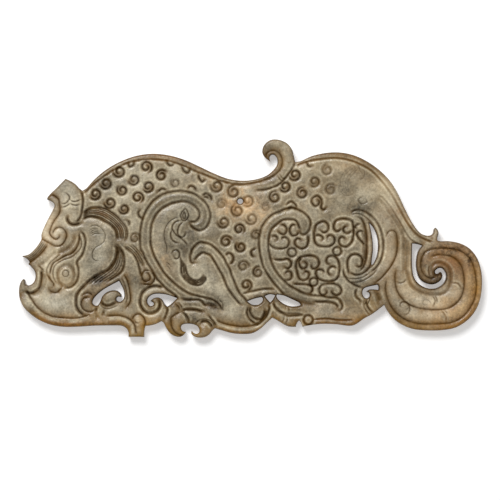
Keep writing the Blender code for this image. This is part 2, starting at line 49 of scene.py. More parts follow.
# The carving is drawn on one sheet, x to the right and y downward. Its width is the pendant's length.
# The outline is a ring of smooth runs that meet at corners. A run starts where the one before it ends.
outlineRuns = {
    "crestBack": [(78.5, 187.9), (75.3, 184.4), (70.8, 181.2), (65.4, 178.7)],
    "crestFront": [(60, 184.2), (55.1, 189.2), (50.9, 193.1), (47.2, 197.6), (47.2, 199.7)],
    "nose": [(50.4, 200.9), (53.6, 203.2), (54.3, 206), (52.8, 209.9), (49.9, 215.2), (46.4, 221.9),
        (42.9, 229.6), (41.2, 235), (41.1, 239.5), (37.4, 245.6), (33.6, 250.1), (30.1, 253.3), (26.8, 255),
        (21.6, 256)],
    "upperLip": [(24.8, 257.5), (27.8, 259.6), (29.3, 262.2), (28.1, 263.9)],
    "mouth": [(32, 267.6), (34.8, 272), (35.3, 277.4), (33.5, 282.2), (30, 284.9), (26.6, 285.2),
        (24.9, 283), (24.5, 280.4), (23.2, 279)],
    "chin": [(21.3, 281), (19.3, 286), (18.8, 293.2), (20, 300), (23.4, 306.8), (29.4, 313.2), (39, 320),
        (50.9, 324.8), (64, 326.8), (79.1, 326.6), (95, 325.6), (112, 325.4), (121, 325.7), (126, 328.2),
        (128.2, 332), (128.4, 336.7)],
    "tabFoot": [(143.9, 336.9)],
    "tabSide": [(144, 331.5), (145, 325.9)],
    "chest": [(150.5, 325.3), (155.8, 323.9), (161.3, 321.2)],
    "frontClaw": [(163.5, 322.8), (165.6, 327), (168.8, 332), (173.4, 335.5), (178.6, 336.8), (183, 335.5),
        (185.7, 331.8)],
    "clawGap": [(182.6, 331.2), (180.6, 328.2), (181.6, 325.2), (185, 323.8), (190.5, 323.8), (195.6, 325),
        (198.6, 327.8), (199.2, 331.3), (197, 333.8), (193.8, 333.3), (191.2, 330.9)],
    "secondClaw": [(191.2, 333.6), (194.2, 336.3), (199, 337.6), (204.6, 337), (209, 334.5), (212, 330.8),
        (214.8, 328.3)],
    "belly": [(222, 330.4), (232, 333.1), (243, 334), (252.3, 333.1), (260, 328.8), (266.8, 322.6),
        (272, 317.7)],
    "hindFoot": [(277, 320.2), (284, 324.6), (289.4, 326.6), (295.6, 326.8)],
    "toeNotch": [(296.8, 322.8), (298.9, 320.6), (301, 322.8), (302.4, 326.6)],
    "hindHeel": [(310, 325.1), (322, 323.8), (336, 324.2), (349, 325.8), (356, 324), (364, 318.4),
        (373, 313.4), (384.2, 304.7)],
    "tailCoil": [(388, 311.8), (395, 320), (404, 325.8), (414, 329.2), (428, 330.4), (443, 330),
        (456, 327.2), (467.4, 320), (475.6, 310), (480.2, 298), (481.8, 284), (480.9, 270.5), (476.8, 257.8),
        (469, 248.2), (459, 243), (448, 241), (441, 241.2), (437.2, 240.3)],
    "spurBack": [(437.2, 237.4), (438.3, 233.4), (437.6, 230), (435.3, 227.5)],
    "rump": [(433.7, 229.8), (433.2, 232.8), (430.6, 235.2), (425.4, 235.3), (419, 232), (411.6, 222),
        (404.4, 208), (397.2, 192.6), (389.8, 180.8), (380, 170.6), (367.6, 161.7), (354, 155.3),
        (340, 152.4), (326, 152.8), (312, 155.9), (301, 160.8), (295, 162.1)],
    "plumeBack": [(293.7, 156.4), (291.8, 149.4), (286.8, 143.2), (279, 139.8), (271, 139.8), (264.8, 143.9),
        (262.1, 150.4), (264, 156.2), (270, 161.4)],
    "plumeHook": [(269.3, 157.4), (271.2, 154.6), (274.4, 155), (277, 158.6), (277, 164), (273.6, 169.6),
        (266, 175.7), (255, 179.4), (242, 180.6), (228, 178.7), (214, 173.4), (199, 166.3), (184, 159.6),
        (168, 155.1), (151, 153.7), (134, 156.3), (118, 162.5), (104.8, 170.4), (93.8, 179.8), (86.6, 187.8),
        (82, 190.6)],
}

# Cut right through, drawn in the same way.
openingRuns = {
    "mouthGap": [
        [(122.4, 287.2), (124.2, 293.6), (123.4, 298.8), (119.6, 301.8), (116.4, 300.6), (116.3, 297.8),
         (118.6, 296.5)],
        [(120.9, 297)],
        [(121, 294.6), (117.6, 291.2), (112.6, 290.2), (106.6, 292.1), (102.2, 296.2), (100, 301.4),
         (97.2, 305.4), (93.8, 305), (92, 302), (94.6, 296.8), (102, 290.2), (110.4, 285.2), (118.8, 280.7)],
    ],
    "chestScroll": [
        [(168.6, 295.1), (160.6, 293.7), (152.6, 294.3), (147.8, 298), (147, 302.4), (149.6, 305.9),
         (153, 305.2), (153.4, 302.8), (150.2, 300.9)],
        [(153.4, 298.2), (158, 297.5), (162, 299.8), (164.4, 304), (167, 306.6)],
        [(171, 303.8), (177, 298.1)],
    ],
    "toeGap": [
        [(254, 298.6), (261, 297)],
        [(262.8, 298.6), (261.8, 302), (258, 304.6), (252.6, 304.8), (249.2, 303), (247.2, 301.2)],
    ],
    "heelGap": [
        [(269.8, 294.1), (275, 295.2)],
        [(272.8, 299.4), (270.1, 302.3)],
        [(267, 299.2), (264.7, 296)],
    ],
    "legGap": [
        [(284, 295.6), (292, 299.2), (298, 302)],
        [(300.5, 304.6), (298, 306), (291, 306.4), (284.4, 304.2), (279, 300.4), (276.3, 296.4),
         (277, 294.4)],
    ],
    "haunchSlit": [
        [(373.4, 227.6), (376.8, 235.6), (378, 245), (377, 255.2), (373.4, 263.8), (371.2, 264.4)],
        [(371.8, 258), (372.8, 249), (372, 237), (369, 222.6)],
    ],
    "heelScroll": [
        [(378.6, 287.2), (378.2, 289.9)],
        [(374, 289.4), (369.6, 289.5), (366.2, 291.8)],
        [(369, 292.8), (369.6, 296), (367, 298.3), (363.8, 297), (362.2, 292.8), (363.4, 288.8),
         (367.4, 286.8), (377.4, 284.6)],
    ],
    "tailSlit": [
        [(416.8, 243.9), (422.2, 245.5)],
        [(418.2, 251.2), (416.2, 260), (416.4, 269.4), (419.4, 278.4), (425.4, 283), (432.4, 284.3),
         (438.6, 281.8), (442, 277.2), (441.7, 273.4), (440.2, 271.8)],
        [(437.6, 273.7), (435, 273), (435.2, 270.4), (438.6, 268), (442.6, 268.6), (445.7, 273),
         (445.7, 279.4), (442, 285), (434.8, 288.5), (426.6, 287.9), (418.8, 283.8), (413.8, 277.2),
         (412, 268), (411.7, 256), (412, 243.4)],
    ],
}

# The cord's hole: middle and radius.
holeSpot = (240, 201.2, 2.75)

# Cuts by region: the kind of cut, and its line.
rimLines = {
    "backRim": ("rim", [(82.9, 193.7), (88.7, 188.6), (95.1, 182.8), (101.5, 178.3), (110.1, 171.9),
        (120.4, 165.9), (130.6, 161.9), (143.5, 159.6), (156.3, 159.4), (169.1, 161), (181.9, 165.1),
        (194.7, 170.8), (202.8, 173.9), (215.6, 179), (228.5, 182.9), (241.3, 184.4), (254.1, 182.8),
        (264, 180.2)]),
    "plumeHollow": ("tail", [(266, 157.2), (266.4, 153.6), (269.6, 151), (274, 150.4), (278.6, 152.6),
        (281.4, 157.2), (282, 163), (280.2, 168.6), (276, 173.6), (270, 177.6), (263, 180.4)]),
    "plumeSeam": ("main", [(256, 190), (264, 189.5), (272, 187.4), (279, 184), (285, 178), (289.5, 172),
        (293, 166.5), (294.8, 162.5)]),
    "plumeTickLow": ("fine", [(277.5, 175.5), (280, 179.5), (283.5, 181.2)]),
    "plumeTickHigh": ("fine", [(279.5, 174.3), (281.8, 177.4), (285.3, 179.4)]),
    "rumpRim": ("rim", [(296.2, 165.4), (305.8, 162), (316.7, 159.5), (332.7, 157.9), (342.3, 158.7),
        (350.6, 160.6), (358.3, 163.5), (370.1, 169.8), (380.4, 180), (387.4, 188.9), (393.8, 198.5),
        (399.6, 209.3), (405.4, 220), (412.4, 230), (420.1, 236.9), (431.7, 241.9)]),
    "chinRim": ("ledge", [(24, 290.6), (25.9, 295.1), (29.7, 301.5), (34.2, 307.9), (40.6, 313.7),
        (47.1, 317.2), (53.5, 319.5), (69.5, 320.9), (79.1, 320.4), (89.4, 317.6)]),
    "tabRim": ("ledge", [(107.6, 318.8), (117.8, 318.2), (122.9, 319.2), (126.8, 320.8), (130, 323.3),
        (131.9, 326.5), (132.6, 331), (133.2, 334.2)]),
    "bellyRim": ("ledge", [(215.4, 322.7), (219.5, 324.7), (225.6, 326.8), (235, 328.7), (243.7, 329.2),
        (252.3, 328.4), (258.1, 325.8), (262.1, 322.9), (266.2, 318.8), (269, 314.2), (269.6, 309.6)]),
    "footRim": ("rim", [(313, 319.7), (326.3, 318.5), (339.1, 320), (351.9, 319.8)]),
}

headLines = {
    "crestEdge": ("main", [(81, 191.2), (82.3, 195.6), (82.9, 200.8), (82.3, 207.2), (81.3, 213.6),
        (79.1, 218.7), (75.9, 221.9)]),
    "earHook": ("deep", [(67.6, 216.4), (67.2, 218.9), (68.4, 221.9), (70.4, 223.7), (73.4, 224.4),
        (77.2, 224), (80.6, 222.4)]),
    "crestCurl": ("line", [(66, 193.1), (68.2, 194.7), (69.5, 197.6), (68.5, 200.1), (66.3, 202.7),
        (64, 203.7), (62.1, 203.3)]),
    "crestWaveTop": ("line", [(70.1, 199.5), (72.7, 201.4), (75.9, 201.4), (80.4, 199.5)]),
    "crestWaveLeft": ("line", [(61.8, 206.9), (65, 206.5), (68.2, 204.6), (69.8, 203.3)]),
    "crestWaveRight": ("line", [(70.1, 203.3), (72.7, 204.6), (75.9, 205.1), (79.7, 204.3)]),
    "bridge": ("brown", [(50.9, 195.6), (53.5, 195.3), (56, 196.9), (58.6, 199.5), (59.2, 203.3),
        (59.9, 209.7), (58.6, 214.2), (54.1, 220.6), (51.5, 225.8), (49.9, 230.9), (49.9, 234.1),
        (52.8, 237.6), (56, 239.1), (58.9, 237.3), (59.2, 235.1)]),
    "noseScroll": ("brown", [(52.5, 234.1), (53.5, 230.9), (56, 228), (59.9, 227.1), (63.7, 229),
        (66, 232.8), (66.3, 236.7), (64.4, 241.2), (61.2, 245), (56, 246), (50.9, 243.7), (46.4, 241.2),
        (41.9, 238.9)]),
    "noseBand": ("brown", [(47, 245), (43, 251), (38, 256), (33, 260), (28.5, 263)]),
    "snoutWrinkle": ("fine", [(38.4, 265.6), (41.3, 268.2), (44.5, 271.4)]),
    "wrinkleUpper": ("soft", [(56, 251), (50, 256.7), (45, 261.7), (40.5, 265)]),
    "wrinkleLower": ("fine", [(60, 254.5), (54, 259), (49, 264), (46.7, 270), (47.1, 274.6)]),
    "lip": ("deep", [(41.3, 270.1), (41.6, 275.9), (41, 281), (39.4, 287.4), (36.2, 290.6), (30.4, 293.2),
        (24.6, 291.3)]),
    "pupil": ("hair", [(68.8, 273.3), (67.9, 275.6), (65.6, 276.5), (63.3, 275.6), (62.4, 273.3),
        (63.3, 271), (65.6, 270.1), (67.9, 271), (68.8, 273.3)]),
    "eyeball": ("soft", [(75, 275.5), (72.4, 282.9), (66, 286), (59.6, 282.9), (57, 275.5), (59.6, 268.1),
        (66, 265), (72.4, 268.1), (75, 275.5)]),
    "eyeCorner": ("brown", [(47.1, 274.6), (49.9, 278.5), (52.2, 281.7), (53.7, 284.2), (52.5, 287.1)]),
    "tearDuct": ("brown", [(49.6, 288.7), (50.9, 291.3), (53.5, 292.2), (57.3, 291.9), (60.5, 288.7),
        (62.1, 287.1)]),
    "browLeft": ("brown", [(79.1, 232.8), (79.1, 237.9), (78.5, 243.1), (75.9, 248.8), (71.4, 253.3),
        (65, 255.9), (59.2, 259.1), (53.5, 262.9), (50.9, 268.1), (49.9, 274)]),
    "browRight": ("main", [(81, 231.5), (83.9, 234.7), (85.2, 240.5), (84.6, 246.9), (82.3, 254),
        (79.1, 258.5), (76.8, 262.3), (78.3, 268.5), (78.4, 274.6), (76.6, 281), (71.6, 286.4),
        (65.4, 288)]),
    "browRidge": ("fine", [(79.7, 236.7), (81.7, 243.1), (80.4, 248.2), (76.5, 252.7), (70.8, 257.2),
        (63.7, 259.7), (56.7, 263.6), (53.5, 268.7), (53.2, 276), (56.4, 283.4)]),
    "maneOuter": ("main", [(82.9, 212.9), (86.8, 209.7), (90.6, 207.8), (95.1, 207.2), (100.3, 207.5),
        (106, 209.1), (111.3, 212), (115.9, 215.5), (119.7, 219.4), (122.9, 223.2), (125.5, 226.4),
        (126.8, 230.9), (127.1, 236), (125.5, 239.9)]),
    "maneInner": ("main", [(82.9, 219.4), (86.8, 217.1), (90.6, 216.5), (95.1, 217.1), (99.6, 218.4),
        (104.7, 221.3), (109.3, 223.8), (112.9, 227.1), (115.3, 230.3), (116.5, 234.7), (117.2, 239.2)]),
    "cheekComma": ("hair", [(89.4, 227.1), (91.9, 225.8), (95.1, 225.1), (99.6, 226.7), (102.8, 229.9),
        (105.1, 234.1), (105.1, 237.9), (103.5, 241.8), (99.6, 245), (95.8, 247.2), (92.9, 250.8),
        (92.2, 254.6), (93.2, 258.5), (95.8, 260.4), (98.3, 260.7)]),
    "cheekEdge": ("deep", [(115.9, 245.1), (116.9, 249.6), (116.5, 254.7), (115.3, 259.2), (112.7, 263.7),
        (107.9, 269.5), (101.5, 272.7), (95.1, 276.5), (88.7, 281), (84.2, 285.5), (79.7, 290),
        (76.5, 295.1), (75.9, 300.3), (76.5, 306), (79.1, 311.2), (83.6, 315)]),
    "lockEdge": ("main", [(117.8, 245.1), (120.4, 248.3), (122.3, 251.5), (123.6, 256), (124.2, 261.2),
        (123.6, 265.6), (121.7, 270.8), (117.8, 274.6), (112.7, 277.8), (107.6, 281)]),
    "jawRoundel": ("brown", [(82, 295.1), (84.9, 293.2), (87.4, 292.6), (90.6, 293.5), (92.6, 295.8)]),
    "jawRoundelInner": ("brown", [(88.7, 297.1), (84.2, 297.7), (81.7, 300.9), (81, 304.7), (82.9, 308.6),
        (86.8, 311.2), (91.3, 311.5), (94.5, 309.2)]),
    "tooth": ("deep", [(100.9, 301.5), (102.8, 304.1), (106.7, 305.7), (111.2, 304.7), (115, 302.8),
        (116.5, 302.2)]),
    "toothRim": ("fine", [(99.8, 304.2), (103.4, 307.6), (107.6, 308.6), (112.6, 307.4), (117.4, 305)]),
    "jawPostLeft": ("main", [(95.4, 312.4), (96.7, 306.7)]),
    "jawPostRight": ("main", [(102.8, 314.4), (103.8, 309.9)]),
    "browShade": ("soft", [(74.4, 235), (72.4, 242.6), (66.4, 249), (58.4, 253)]),
    "cheekSheen": ("sheen", [(64, 241), (57, 249.6), (48, 259.4), (45.6, 267)]),
    "lipShade": ("soft", [(43.6, 272), (44.4, 279), (42.4, 287), (38, 292.6), (31, 295.4)]),
    "jawNotch": ("deep", [(96.6, 314.6), (97.4, 317.4)]),
}

chestLines = {
    "strandOuter": ("main", [(124.9, 247.1), (129.4, 250.3), (133.2, 254.1), (136.4, 259.2), (138.3, 264.4),
        (139.6, 269.5), (140.9, 274.6)]),
    "strandInner": ("fine", [(131.3, 243.8), (135.8, 247.7), (139.6, 252.2), (142.2, 256), (146, 261.2)]),
    "strandHollow": ("broad", [(134.6, 250.6), (139, 256), (141.8, 262), (143.2, 267)]),
    "chestCurl": ("brown", [(149.9, 270.8), (146.7, 270.1), (143.5, 271.4), (141.9, 274.6), (142.5, 279.1),
        (145.4, 281.3), (149.2, 279.7), (149.9, 276.5), (147.9, 273.3), (146, 272.7)]),
    "chestCurlOuter": ("brown", [(151.2, 271.4), (153.7, 275.3), (154, 279.7), (151.2, 283.6), (146, 284.2),
        (142.2, 283.6)]),
    "breastScroll": ("deep", [(162.7, 287.4), (157.6, 285.8), (152.4, 286.2), (146.7, 288.4), (142.2, 292.6),
        (140.3, 297.7), (139.9, 302.8), (141.5, 307.3), (144.7, 311.2), (149.2, 313.1), (153.7, 312.4),
        (157.6, 309.9), (159.5, 306), (159.5, 302.2), (158.2, 299.6)]),
    "breastScrollEnd": ("main", [(166.5, 306.7), (167.2, 310.5), (165.6, 315.6), (164, 319.5)]),
    "jawStrap": ("brown", [(124.2, 275.3), (126.8, 279.7), (128.7, 286.2), (129.7, 292.6), (130.3, 297.7),
        (129.4, 302.8), (126.2, 307.3)]),
    "jawStrapRidge": ("fine", [(121.6, 277.6), (124.4, 284), (126.2, 291), (127, 297.6), (125.8, 303)]),
    "tabCurl": ("brown", [(132.6, 320.1), (133.2, 316.9), (135.8, 314.4), (139.6, 314), (142.8, 316.3),
        (144.7, 319.5), (145.1, 323.3), (143.5, 326.5)]),
    "tabCurlInner": ("fine", [(134.5, 320.1), (136.4, 322.7), (139.6, 322.4)]),
}

shoulderLines = {
    "bandOuter": ("main", [(177.4, 299), (176.2, 296.4), (171.7, 292.6), (167.2, 289.4), (160.1, 282.3),
        (156.3, 277.8), (151.2, 268.8), (147.3, 263.1), (144.7, 257.3), (142.8, 252.8), (140.3, 247.7),
        (139.9, 234.7), (141.2, 224.5), (142.8, 218.1), (145.4, 211.7), (148.6, 206.5), (152.4, 201.4),
        (156.3, 198.2), (160.8, 195), (166.5, 192.8), (172.9, 191.5), (179.4, 190.8), (185.8, 191.5),
        (192.2, 193.1), (197, 195.5), (200.9, 198.5), (204.7, 201.7), (207.6, 206.2), (209.6, 211.3),
        (210.2, 215.8), (209.2, 220.9), (206.7, 226), (203.5, 228.9), (199.6, 230.2), (195.8, 229.2),
        (191.9, 226.7), (189.8, 223.5)]),
    "bandInner": ("main", [(189.6, 222.6), (191.5, 221.6), (194.7, 221.3), (197.3, 219.4), (199.2, 216.2),
        (199.2, 212.9), (197.9, 209.7), (195.4, 206.5), (192.8, 204.6), (188.3, 202.1), (183.2, 201.1),
        (178.1, 201.7), (172.3, 203), (167.2, 205.3), (162.7, 207.8), (158.8, 211), (155.6, 214.9),
        (153.1, 220), (151.2, 225.8), (150.4, 234), (150.5, 243.8), (151.8, 249), (153.7, 254.7),
        (156.3, 259.9), (161.4, 268.8), (164.6, 273.3), (168.5, 277.8), (175.4, 284.2), (180.5, 288.1),
        (185.6, 291.4), (190.8, 294), (200, 296.5), (205.1, 297.6), (210.3, 298.8), (214.4, 300.6),
        (217.9, 303.2), (220.3, 305.8), (221.5, 309.9)]),
    "bandEndHook": ("fine", [(219, 299.6), (222.1, 302.7), (222.8, 305.8), (222.6, 308.8), (224.1, 310.9)]),
    "bandLowerEdge": ("main", [(182.1, 298.6), (188.2, 299.6), (199.5, 299.6), (204.1, 304.2),
        (207.2, 305.3)]),
    "bandEndHollow": ("broad", [(206.6, 303), (211.6, 305), (217.6, 307.8)]),
    "strapOuter": ("main", [(195.1, 262.8), (191.3, 262.2), (189.9, 256.7), (190.9, 252.8), (192.8, 248),
        (199, 242.3), (204.7, 242.6), (209.9, 244.2), (213.7, 246.8), (217.6, 250.6), (221.4, 254.8),
        (224, 258.3), (226.5, 263.5), (229.7, 269.2), (231.7, 275.6), (234.2, 281.4), (236.8, 287.8),
        (240, 293.6), (243.8, 297.4), (247.1, 301.3)]),
    "strapInner": ("main", [(193.8, 260.9), (195.8, 257.7), (198.3, 255.1), (202.2, 252.6), (206, 253.2),
        (209.9, 255.1), (212.4, 258.3), (215.6, 263.5), (218.8, 269.2), (222.1, 275), (224.6, 280.8),
        (227.2, 287.2), (231, 292.9), (234.9, 298.1), (238.7, 302.6), (241.3, 304.8)]),
    "pawEdge": ("deep", [(182.1, 310.9), (185.6, 309.4), (190.8, 309.1), (195.9, 309.6), (201, 310.9),
        (202.6, 311.7)]),
    "bud": ("line", [(185.1, 208.5), (187.1, 211), (188.3, 214.9), (187.1, 218.7), (184.5, 220.6),
        (181.9, 219.7), (180.6, 215.5), (181.9, 211.7), (185.1, 208.5)]),
    "budHeart": ("line", [(184, 211.8), (185.4, 215.5), (184, 219.2), (182.6, 215.5), (184, 211.8)]),
    "vineInner": ("line", [(183.2, 221.6), (179.4, 225.1), (177.8, 229), (177.4, 232.8), (179.4, 236),
        (182.6, 237), (184.8, 234.7), (185.1, 232.2)]),
    "vineMiddle": ("line", [(180.6, 220.6), (176.2, 221.3), (172.9, 224.5), (172, 228.3), (173.6, 231.5),
        (176.8, 235.4), (181.3, 238.6), (184.5, 241.2), (187.1, 245)]),
    "vineOuter": ("hair", [(176.8, 217.4), (172.3, 219.4), (168.5, 222.6), (165.3, 227.7), (164, 233.5),
        (164.6, 239.9), (166.4, 246), (166.2, 253)]),
    "vineLow": ("line", [(171.7, 229.6), (170.4, 234.7), (171.7, 239.2), (174.9, 241.8), (178.7, 243.1)]),
    "swirl": ("line", [(171.7, 253.5), (172.9, 250.9), (176.2, 249.9), (178.7, 251.5), (179.4, 254.7),
        (178.1, 257.9), (175.5, 258.6), (173.3, 256.3)]),
    "scaleHigh": ("hair", [(166, 262), (168.6, 263.4), (170.4, 266)]),
    "scaleLow": ("hair", [(166.6, 265.6), (168.8, 267.2), (170, 269.6)]),
    "featherOuter": ("line", [(180, 256), (180.6, 262.4), (180.6, 268.8), (181.3, 274), (184.6, 279.1),
        (188.7, 282.7), (192.8, 284.7), (197.9, 285.5), (202.1, 284), (205.1, 280.6), (205.9, 278.1),
        (204.1, 275)]),
    "featherInner": ("line", [(185.1, 263.7), (186.1, 268.2), (187.7, 274), (190.9, 277.8), (194.7, 279.7),
        (199.2, 279.1), (201.8, 276.5), (202.4, 274.6)]),
}

footLines = {
    "toeRing": ("brown", [(180.5, 311.9), (176.9, 313.2), (173.3, 315.5), (170.8, 318), (171, 321.2),
        (171.3, 325.3), (173.3, 329.9), (175.9, 332.9), (179.5, 334.7), (182.6, 334.2)]),
    "toeOuter": ("main", [(182.1, 311.9), (185.6, 314.5), (187.7, 317.6), (188.2, 320.1), (188.5, 322.7)]),
    "toeInner": ("fine", [(184.1, 314.5), (185.6, 317.1), (186.2, 320)]),
    "knuckleLeft": ("brown", [(175.4, 303.7), (178.5, 306.8), (179.7, 309.9)]),
    "knuckleRight": ("fine", [(177.9, 302.2), (181, 305.8), (182.6, 309.4)]),
    "clawRidge": ("fine", [(195.9, 323.2), (199, 320.1), (203.1, 318.8), (207.2, 319.1), (210.3, 320.6),
        (212.8, 323.2), (214.4, 326.3)]),
    "clawDark": ("deep", [(200.5, 323.2), (202.1, 321.4), (205.1, 320.8), (207.7, 321.6), (210.3, 324),
        (212.6, 327.2)]),
    "clawOuter": ("main", [(208.2, 315), (210.8, 318.6), (213.8, 322.2), (215.9, 325.8)]),
    "bellySeam": ("main", [(242.5, 293.8), (246.5, 292.3), (251.2, 291.2), (258.1, 289.7), (263.8, 288.8),
        (269.6, 288.6), (273.7, 289.1)]),
    "padOuter": ("main", [(248, 306.2), (247.1, 309.6), (246.8, 313.1), (248.8, 317.7), (252.3, 321.2),
        (255.8, 322.9)]),
    "padRing": ("deep", [(250.3, 306.2), (249.7, 310.8), (251.2, 314.8), (254, 317.7), (258.1, 319.1),
        (261.5, 318.8), (264.4, 313.1), (265, 309.6)]),
    "padRight": ("main", [(268.5, 305), (269, 309), (267.3, 314.2), (264.4, 318.8), (259.8, 322.9),
        (255.2, 325.8)]),
    "hindToe": ("main", [(273.1, 302.1), (274.8, 306.7), (277.7, 310.2), (281.2, 312.5), (284.6, 314.2),
        (288.7, 315.4), (295.6, 315.1), (304.2, 314.8)]),
    "hindToeInner": ("fine", [(275.4, 305.6), (278.8, 309), (282.9, 311.9), (288.1, 313.1), (295.6, 313.1),
        (302.5, 313.9)]),
    "toeTickA": ("fine", [(285.8, 307), (285.5, 309)]),
    "toeTickB": ("fine", [(288.1, 306.7), (288.7, 309.6), (288.1, 311.9)]),
    "toeTickC": ("fine", [(284, 316), (283.5, 319.4), (281.7, 322)]),
    "toeTickD": ("fine", [(287.2, 317.1), (286.6, 320.6), (285.5, 322.6)]),
    "heelOuter": ("main", [(357, 288.4), (355.2, 292), (356, 296.5), (359.5, 300), (361, 303)]),
    "heelLine": ("main", [(366, 300), (366.5, 304.5), (369, 309), (372.5, 312.5)]),
    "heelFold": ("fine", [(363.5, 300), (364, 306), (367, 311.5), (370, 314.6)]),
    "heelHollow": ("broad", [(376.4, 292), (378.4, 297), (379.6, 302)]),
}

haunchLines = {
    "bandOuter": ("main", [(299.7, 231.4), (301.3, 234), (305.1, 234), (308.3, 230.8), (309.9, 226.9),
        (310.3, 221.8), (308.3, 217.3), (303.8, 212.8), (298.1, 209.6), (291.7, 207.1), (284.6, 209),
        (279.3, 211.5), (273.3, 213.8), (268.2, 217.7), (264.4, 222.2), (261.2, 227.3), (259.9, 232.7),
        (258.9, 239.1), (258.9, 246.2), (259.6, 252.6), (261.2, 259.6), (263.1, 266.7), (266.3, 272.4),
        (270.1, 278.2), (274.6, 284), (279.7, 289.7), (284.2, 294.6)]),
    "bandInner": ("main", [(300, 229.5), (298.7, 226.3), (297.4, 223.1), (294.9, 220.2), (291, 219.2),
        (285.9, 219.2), (281.4, 220.5), (273.3, 226.9), (270.8, 230.1), (269.2, 235.3), (268.2, 241.7),
        (268.2, 247.4), (269.2, 253.8), (270.8, 260.3), (273.3, 266.7), (277.2, 273.1), (281, 277.6),
        (284.8, 281.4), (289.7, 285.6), (294.2, 288.1), (299.4, 291), (303.8, 292.9), (310.3, 294.6),
        (319.9, 295.8), (328.2, 297.1), (335.3, 297.4), (339.1, 299.4), (341, 302.6), (342, 305.8),
        (341, 309), (339.1, 310.3)]),
    "bandHook": ("main", [(313.5, 301.3), (319.9, 301.6), (326.3, 301.6), (332.1, 302.6), (335.3, 303.8),
        (337.5, 306.4), (337.5, 308.3)]),
    "bandFoot": ("soft", [(290, 298.6), (300.2, 301.4), (307.1, 303.4), (315.8, 304)]),
    "knob": ("deep", [(287, 209.8), (291.8, 207.4), (296.6, 209.6)]),
    "knobRing": ("main", [(286.5, 205), (288.5, 202.5), (291.5, 201.5), (295.5, 205), (297, 207.5)]),
}

# The scroll pattern inside the haunch.
scrollLines = [
    [(280.1, 224.4), (283.3, 224.7), (286.2, 227.6), (286.2, 231.4), (284, 234), (280.8, 233.7),
     (278.2, 231.4)],
    [(296.2, 225.3), (292.9, 224.4), (290.1, 226.9), (289.4, 230.8), (291, 234.6), (294.2, 235.6),
     (297.4, 234), (297.8, 231.4)],
    [(271.4, 237.2), (273.3, 235.6), (276.3, 236.5), (277.3, 238.8), (276.2, 240.4)],
    [(269.2, 242.3), (270.8, 245.5), (275.3, 247.8), (281.7, 248.4), (286.8, 246.8), (288.7, 242.9),
     (288.1, 239.1), (284.9, 236.9), (281.7, 237.8), (281.3, 239.4)],
    [(301.3, 240.1), (297.4, 238.1), (294.5, 241.7), (296.2, 246), (301, 248.5), (306, 246.5), (308, 241),
     (307.5, 235)],
    [(320.5, 230.4), (323.1, 232.4), (326.3, 231.4), (328.2, 228.2), (327.2, 223.7), (323.7, 221.2),
     (319.2, 222.4), (315.4, 225.6), (314.1, 230.8), (313.8, 236.5), (314.7, 241.7), (317.3, 244.9),
     (322.4, 246.2), (328.2, 246.2), (332.7, 244.2), (334.6, 240.4), (333.3, 236.5), (330.1, 234.9),
     (327.2, 236.5), (326.9, 238.8)],
    [(321.5, 240.4), (322.8, 237.8), (320.5, 235.3), (317.3, 234.9), (315.1, 236.5)],
    [(341, 227.6), (339.1, 230.4), (335.9, 230.8), (333.7, 228.2), (333.7, 224.4), (335.9, 220.5),
     (341, 218.6), (347.4, 218.9), (351.9, 221.2), (352.9, 225.6), (353.5, 231.4), (352.6, 238.5),
     (350.6, 242.9), (346.8, 246.2), (342.3, 246.2), (339.1, 243.6), (338.5, 239.7), (340.4, 237.2),
     (342.9, 236.9), (345.5, 239.4)],
    [(346.8, 226), (344.2, 226.9), (342.9, 229.5), (344.9, 232.4), (348.7, 232.7), (351.6, 230.1)],
    [(273.3, 259), (281.4, 259.6), (287.2, 258.6), (290.7, 261.5), (290.7, 265.4), (287.8, 268.3),
     (284, 267)],
    [(284.9, 273.7), (286.5, 271.5), (289.7, 271.2), (291.3, 274), (291, 277.6), (288.5, 279.8),
     (284.6, 279.5)],
    [(310.3, 264.1), (311.5, 267.3), (314.1, 268.6), (317.3, 266.7), (318.9, 263.5), (317.9, 259),
     (314.7, 256.4), (310.3, 255.4), (305.1, 255.8), (300, 257.1), (296.8, 260.3), (295.8, 265.4),
     (296.8, 271.2), (298.1, 276.3), (300.6, 279.5), (304.5, 280.1), (307.7, 278.2), (309, 274.4),
     (307.7, 271.8), (305.1, 271.2), (303.5, 272.8)],
    [(301.9, 257.7), (299, 260.9), (299, 262.8), (300, 266.7), (302.6, 268.6), (305.8, 267.3),
     (306.7, 264.1), (304.5, 261.5), (302.6, 261.9)],
    [(331, 264.4), (327.5, 263.5), (326, 260.5), (327.5, 257), (331.5, 255.5), (336, 257.5), (338.5, 262),
     (339.2, 268), (339, 273), (337.5, 277), (334.5, 280), (329, 281), (323, 280.5), (318.5, 278.5),
     (315.7, 274.5), (316.3, 270.5), (319.5, 269.2), (323, 270.5), (324, 273)],
    [(331.5, 275.5), (328.5, 273.5), (327.5, 270.5), (329.5, 267.5), (333.5, 266.3), (337, 268.5)],
    [(293, 284), (303, 283.8), (308.5, 284.8), (312, 287.5), (311.8, 291), (309.2, 293.4)],
    [(325.5, 290), (326.3, 292.4), (324.5, 294.6), (321, 294.5), (319, 291.5), (319.5, 287), (323, 284.2),
     (328, 283.4), (334, 283.6), (338.5, 285.5), (341, 289), (340.5, 292.5), (337.5, 295), (334, 294.5),
     (331.5, 292), (332.5, 290)],
    [(348.8, 273.6), (347.4, 267), (347.4, 260.5), (350, 255.8), (354.8, 254), (359.4, 255.4), (362, 259.4),
     (361.8, 264), (359, 266.6), (356, 264.8)],
    [(356.5, 229), (355, 226.5), (357, 224.3), (360.5, 224)],
    [(363.5, 232.5), (361, 230.8), (358, 231.5), (356.5, 234.5), (358.5, 238), (362, 242), (364.5, 245.5)],
]

